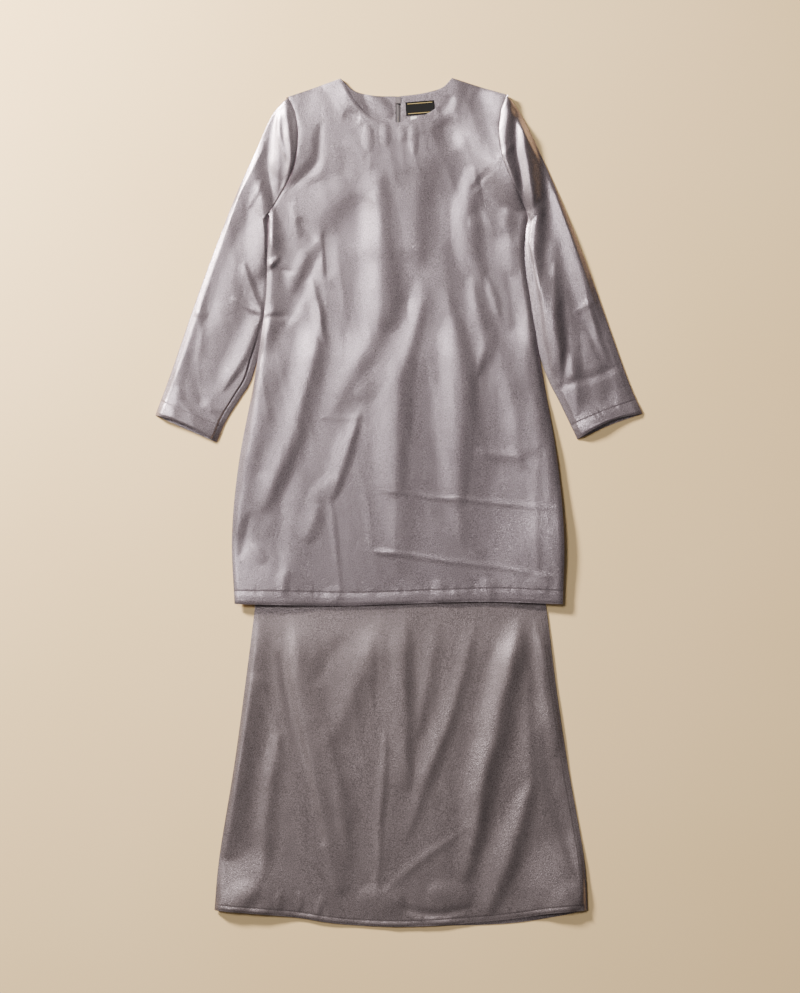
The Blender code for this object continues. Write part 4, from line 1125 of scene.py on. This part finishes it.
def make_skirt():
    """Front and back panel of the skirt."""
    length = WAISTBAND_Y - SKIRT_SIDES[0].y
    shown = row_shares(HEM_Y + 14.0 - SKIRT_SIDES[0].y, SKIRT_HEM_TURN, STEP)
    shown_share = (HEM_Y + 14.0 - SKIRT_SIDES[0].y) / length
    rows = np.concatenate([shown * shown_share, np.linspace(shown_share, 1.0, 40)[1:]])
    columns = np.concatenate([np.linspace(0.0, SEAM_STRIP, 158)[:-1], np.linspace(SEAM_STRIP, 1.0, 18)])
    plan = skirt_plan(SKIRT_HEM, rows, columns)
    x, y = plan[..., 0], plan[..., 1]
    pressed = 1.0 - smoothstep(HEM_Y - 95.0, HEM_Y - 2.0, y)
    relief = at_least(LOOSENESS + skirt_relief(x, y), 0.0) + rise_height(SKIRT_RISES, x, y)
    edges = np.zeros(x.shape)
    for side in ("left", "right"):
        distance, _, _ = distance_to(skirt_side(side)[::3], x, y)
        edges += np.exp(-((distance / 5.0) ** 2))
    from_hem = np.broadcast_to((rows * length)[:, None], x.shape)
    relief = relief * (1.0 - 0.6 * np.minimum(edges, 1.0))
    low = CLOTH + 0.5 + pressed * relief
    high = low + CLOTH + hem_profile(from_hem, SKIRT_HEM_TURN, x) + pressed * skirt_seam_groove(x, y)
    hidden = 1.0 - pressed
    high = np.where(hidden > 0.98, np.minimum(high, SKIRT_TOP), high)
    front = dress(wall("cloth_skirt_front", plan, low, high, SHADED_SKIRT_SATIN), "skirt_satin", "skirt_front")
    stitch_row = int(np.argmin(np.abs(rows * length - SKIRT_HEM_TURN)))
    line = np.column_stack([plan[stitch_row], high[stitch_row] + 0.05])
    back_rows = np.linspace(0.0, 1.0, 150)
    back_plan_grid = skirt_plan(SKIRT_BACK_HEM, back_rows, np.linspace(0.0, 1.0, 101))
    bx, by = back_plan_grid[..., 0], back_plan_grid[..., 1]
    creases = crease_height(SKIRT_BACK_CREASES, bx, by, 61) * 0.28
    low = np.clip(creases + 0.15 * drape_noise(bx, by, 67) + waist_gathers(bx, by) * 0.8, 0.0, 0.5)
    back = dress(wall("cloth_skirt_back", back_plan_grid, low, low + 0.5, SHADED_SKIRT_SATIN),
                 "skirt_satin", "skirt_back")
    return front, plan, line, back, back_plan_grid


def make_waistband():
    """Gathered elastic waistband, hidden under the tunic."""
    left = skirt_side("left")[-1][0]
    right = skirt_side("right")[-1][0]
    across, up = np.meshgrid(np.linspace(left + 0.3, right - 0.3, 260), np.linspace(0.3, 30.0, 14))
    plan = np.stack([across, up + WAISTBAND_Y], axis=-1)
    rib = 0.28 * (0.5 + 0.5 * np.sin(across / 1.9 + 2.0 * soft_noise(across / 9.0, up / 14.0, 87)))
    rows = 0.22 * np.exp(-(((up % 7.4) - 3.7) ** 2))
    low = rib + rows
    piece = wall("cloth_skirt_waistband", plan, low, 2.4 - low, SHADED_SKIRT_SATIN)
    return dress(piece, "skirt_satin", "skirt_waistband")


def stitches(name, line, look, slot, pitch=3.6, length=2.6, radius=0.3):
    """A row of thread stitches along a line of points on the cloth."""
    lengths = travelled(line)
    starts = np.arange(1.5, lengths[-1] - pitch, pitch)
    sides, slices = 6, (0.0, 0.15, 0.5, 0.85, 1.0)
    girths = (0.35, 0.9, 1.0, 0.9, 0.35)
    vertices = []
    faces = []
    for start in starts:
        ends = [
            np.array([np.interp(place, lengths, line[:, axis]) for axis in range(3)])
            for place in (start, start + length)
        ]
        run = ends[1] - ends[0]
        run = run / np.linalg.norm(run)
        sideways = np.cross(run, (0.0, 0.0, 1.0))
        sideways = sideways / np.linalg.norm(sideways)
        upright = np.cross(sideways, run)
        base = len(vertices)
        for share, girth in zip(slices, girths):
            centre = ends[0] + (ends[1] - ends[0]) * share - upright * radius * (1.1 - 0.6 * girth)
            for corner in range(sides):
                angle = 2 * math.pi * corner / sides
                offset = sideways * math.cos(angle) + upright * math.sin(angle)
                vertices.append(centre + offset * radius * girth)
        faces += tube_faces(base, len(slices), sides)
    return dress(mesh_piece(name, vertices, faces, look), slot)


def seam_allowance(side):
    """Strip of cloth inside the armhole seam, which closes it from behind."""
    line = evenly(armhole_line(side), np.linspace(0.0, 1.0, 90))
    run = np.gradient(line, axis=0)
    sideways = np.column_stack([run[:, 1], -run[:, 0]]) / np.linalg.norm(run, axis=1)[:, None]
    offsets = np.linspace(-4.5, 4.5, 7)
    plan = line[:, None, :] + sideways[:, None, :] * offsets[None, :, None]
    x, y = plan[..., 0], plan[..., 1]
    top = front_height(x, y) + CLOTH - seam_dip(x, y)
    along = np.linspace(0.0, 1.0, 90)[:, None]
    end_drop = 0.5 * (1.0 - smoothstep(0.0, 0.06, along))
    high = np.maximum(top - CLOTH - 0.12 - end_drop, 0.4)
    low = high - 0.25
    piece = wall(f"seam_allowance_{side}", plan, low, high, TUNIC_SATIN)
    return dress(piece, "tunic_satin")


def make_zip_tape(side):
    """Zip tape with its coil, one side; the tape is coloured dark as painted shade for the shadow beside the
    coil.
    """
    sign = -1.0 if side == "left" else 1.0
    inner = CENTRE_BACK_X + sign * ZIP_SLOT / 2
    y = np.linspace(ZIP_TOP_Y - ZIP_LENGTH, ZIP_TOP_Y - 0.3, 80)
    reach = np.linspace(0.0, TAPE_WIDTH, 5)
    plan = np.stack([np.column_stack([np.full_like(y, inner + sign * r), y]) for r in reach], axis=1)
    seat = tunic_lift(plan[..., 0], plan[..., 1]) + SOLID_WALL + SEAM_GAP
    piece = wall(f"tape_{side}", plan, seat - 0.25, seat + 0.3, SHADOW_ZIP_TAPE)
    dress(piece, "zip_tape", f"zip_tape_{side}")
    vertices = []
    faces = []
    rings, sides = 7, 6
    for place in np.arange(ZIP_TOP_Y - ZIP_LENGTH + 2.0, ZIP_TOP_Y - 1.0, COIL_PITCH):
        base = len(vertices)
        offset = 0.0 if side == "left" else COIL_PITCH / 2
        height = float(tunic_lift(np.array([inner]), np.array([place]))[0]) + SOLID_WALL + SEAM_GAP + 0.3
        for ring in range(rings):
            turn = math.pi * ring / (rings - 1)
            centre = Vector((inner - sign * (0.35 + 0.95 * math.cos(turn)), place + offset,
                             height + 0.55 * math.sin(turn)))
            for corner in range(sides):
                angle = 2 * math.pi * corner / sides
                vertices.append(centre + Vector((0.0, 0.42 * math.cos(angle), 0.3 * math.sin(angle))))
        faces += tube_faces(base, rings, sides)
    dress(mesh_piece(f"coil_{side}", vertices, faces, ZIP_COIL), "zip_tape")


def turned_grid(centre, width, height, tilt, columns, rows):
    """Plan grid of a small turned rectangle."""
    across, up = np.meshgrid(np.linspace(-0.5, 0.5, columns) * width, np.linspace(-0.5, 0.5, rows) * height)
    turn = math.radians(tilt)
    x = centre[0] + across * math.cos(turn) - up * math.sin(turn)
    y = centre[1] + across * math.sin(turn) + up * math.cos(turn)
    return np.stack([x, y], axis=-1)


def label_seat(plan):
    """Height at which label and size tab lie on the facing."""
    return tunic_lift(plan[..., 0], plan[..., 1]) + 2 * SOLID_WALL + 2 * SEAM_GAP


def label_bow(plan):
    """How far the woven label stands up off its seat."""
    return np.maximum(0.25 * soft_noise(plan[..., 0] / 13.0, plan[..., 1] / 11.0, 71), 0.0)


def make_label():
    """Bare woven label with a plain border, and the bare size tab below it."""
    plan = turned_grid(LABEL_CENTRE, LABEL_WIDTH, LABEL_HEIGHT, LABEL_TILT_DEG, 44, 22)
    low = label_seat(plan) + label_bow(plan)
    label = dress(wall("label_cloth", plan, low, low + 0.45, LABEL_CLOTH), "label", "label")
    turn = math.radians(LABEL_TILT_DEG)
    for name, offset in (("upper", 0.36), ("lower", -0.36)):
        up = LABEL_HEIGHT * offset
        centre = (LABEL_CENTRE[0] - math.sin(turn) * up, LABEL_CENTRE[1] + math.cos(turn) * up)
        band = turned_grid(centre, LABEL_WIDTH - 7.0, 0.9, LABEL_TILT_DEG, 30, 3)
        base = label_seat(band) + label_bow(band) + 0.42
        dress(wall(f"label_border_{name}", band, base, base + 0.12, LABEL_BORDER), "label")
    plan_tab = turned_grid(SIZE_TAB_CENTRE, SIZE_TAB_WIDTH, SIZE_TAB_HEIGHT, LABEL_TILT_DEG, 10, 12)
    low = label_seat(plan_tab)
    tab = dress(wall("size_tab_cloth", plan_tab, low, low + 0.4, TAB_CLOTH), "size_tab", "size_tab")
    return label, plan, tab, plan_tab


def finish_metal():
    """Gives the slider and the pull tab their metal and soft edges."""
    for name, width in (("zip_slider", 0.45), ("zip_pull_tab", 0.3)):
        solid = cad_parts[name]
        solid.data.materials.clear()
        solid.data.materials.append(ZIP_METAL)
        step = solid.modifiers.new("soft edges", "BEVEL")
        step.width = width * MM
        step.segments = 3
        step.limit_method = "ANGLE"
        step.angle_limit = math.radians(40)


def make_floor():
    """Pale floor under the clothes."""
    half = 4.0
    below = -0.0004
    mesh = bpy.data.meshes.new("floor")
    corners = [(-half, -half, below), (half, -half, below), (half, half, below), (-half, half, below)]
    mesh.from_pydata(corners, [], [(0, 1, 2, 3)])
    mesh.materials.append(floor_cloth())
    placed("floor", mesh)


def area_light(name, direction, distance, size, power, colour):
    """Square light that looks at the clothes from a direction."""
    data = bpy.data.lights.new(name, "AREA")
    data.size = size
    data.energy = power
    data.color = colour
    lamp = placed(name, data)
    place = Vector(direction).normalized() * distance
    lamp.location = place
    lamp.rotation_euler = (-place).to_track_quat("-Z", "Y").to_euler()


def make_lights():
    """A low key light from the upper left, a soft light overhead and a pale surround."""
    area_light("key", (-0.74, 0.67, 0.45), distance=2.9, size=0.44, power=328.0, colour=(1.0, 0.94, 0.86))
    area_light("glow", (-0.46, 0.42, 1.0), distance=9.0, size=2.3, power=425.0, colour=(1.0, 0.98, 0.96))
    world = bpy.data.worlds.new("surround")
    world.use_nodes = True
    surround = world.node_tree.nodes["Background"]
    node_input(surround, "Color", (1.0, 0.96, 0.92, 1.0))
    node_input(surround, "Strength", 0.098)
    bpy.context.scene.world = world


def make_camera():
    """Camera straight above, framed as the photograph."""
    view_height = 1.758
    sensor = 36.0
    lens = 85.0
    data = bpy.data.cameras.new("camera")
    data.sensor_width = sensor
    data.lens = lens
    camera = placed("camera", data)
    camera.location = (0.0014 + SHIFT_X * MM, 0.011 + SHIFT_Y * MM, view_height * lens / sensor)
    bpy.context.scene.camera = camera


def make_clothes():
    """Every piece of the set, with its sewing."""
    front_skirt, skirt_grid, skirt_line, back_skirt, back_grid = make_skirt()
    band = make_waistband()
    skirt_sewing = stitches("stitches_skirt_hem", skirt_line, SKIRT_STITCH_SHADE, "skirt_satin")
    for side in ("left", "right"):
        panel, plan, lining, lining_plan = make_back(side)
        make_zip_tape(side)
    front, front_plan, hem_line = make_tunic_front()
    hem_sewing = stitches("stitches_tunic_hem", hem_line, STITCH_SHADE, "tunic_satin")
    for side in ("left", "right"):
        sleeve, plan, line = make_sleeve(side)
        sewing = stitches(f"stitches_cuff_{side}", line, STITCH_SHADE, "tunic_satin")
        allowance = seam_allowance(side)
    label, label_plan, tab, tab_plan = make_label()


make_clothes()
finish_metal()
make_floor()
make_lights()
make_camera()
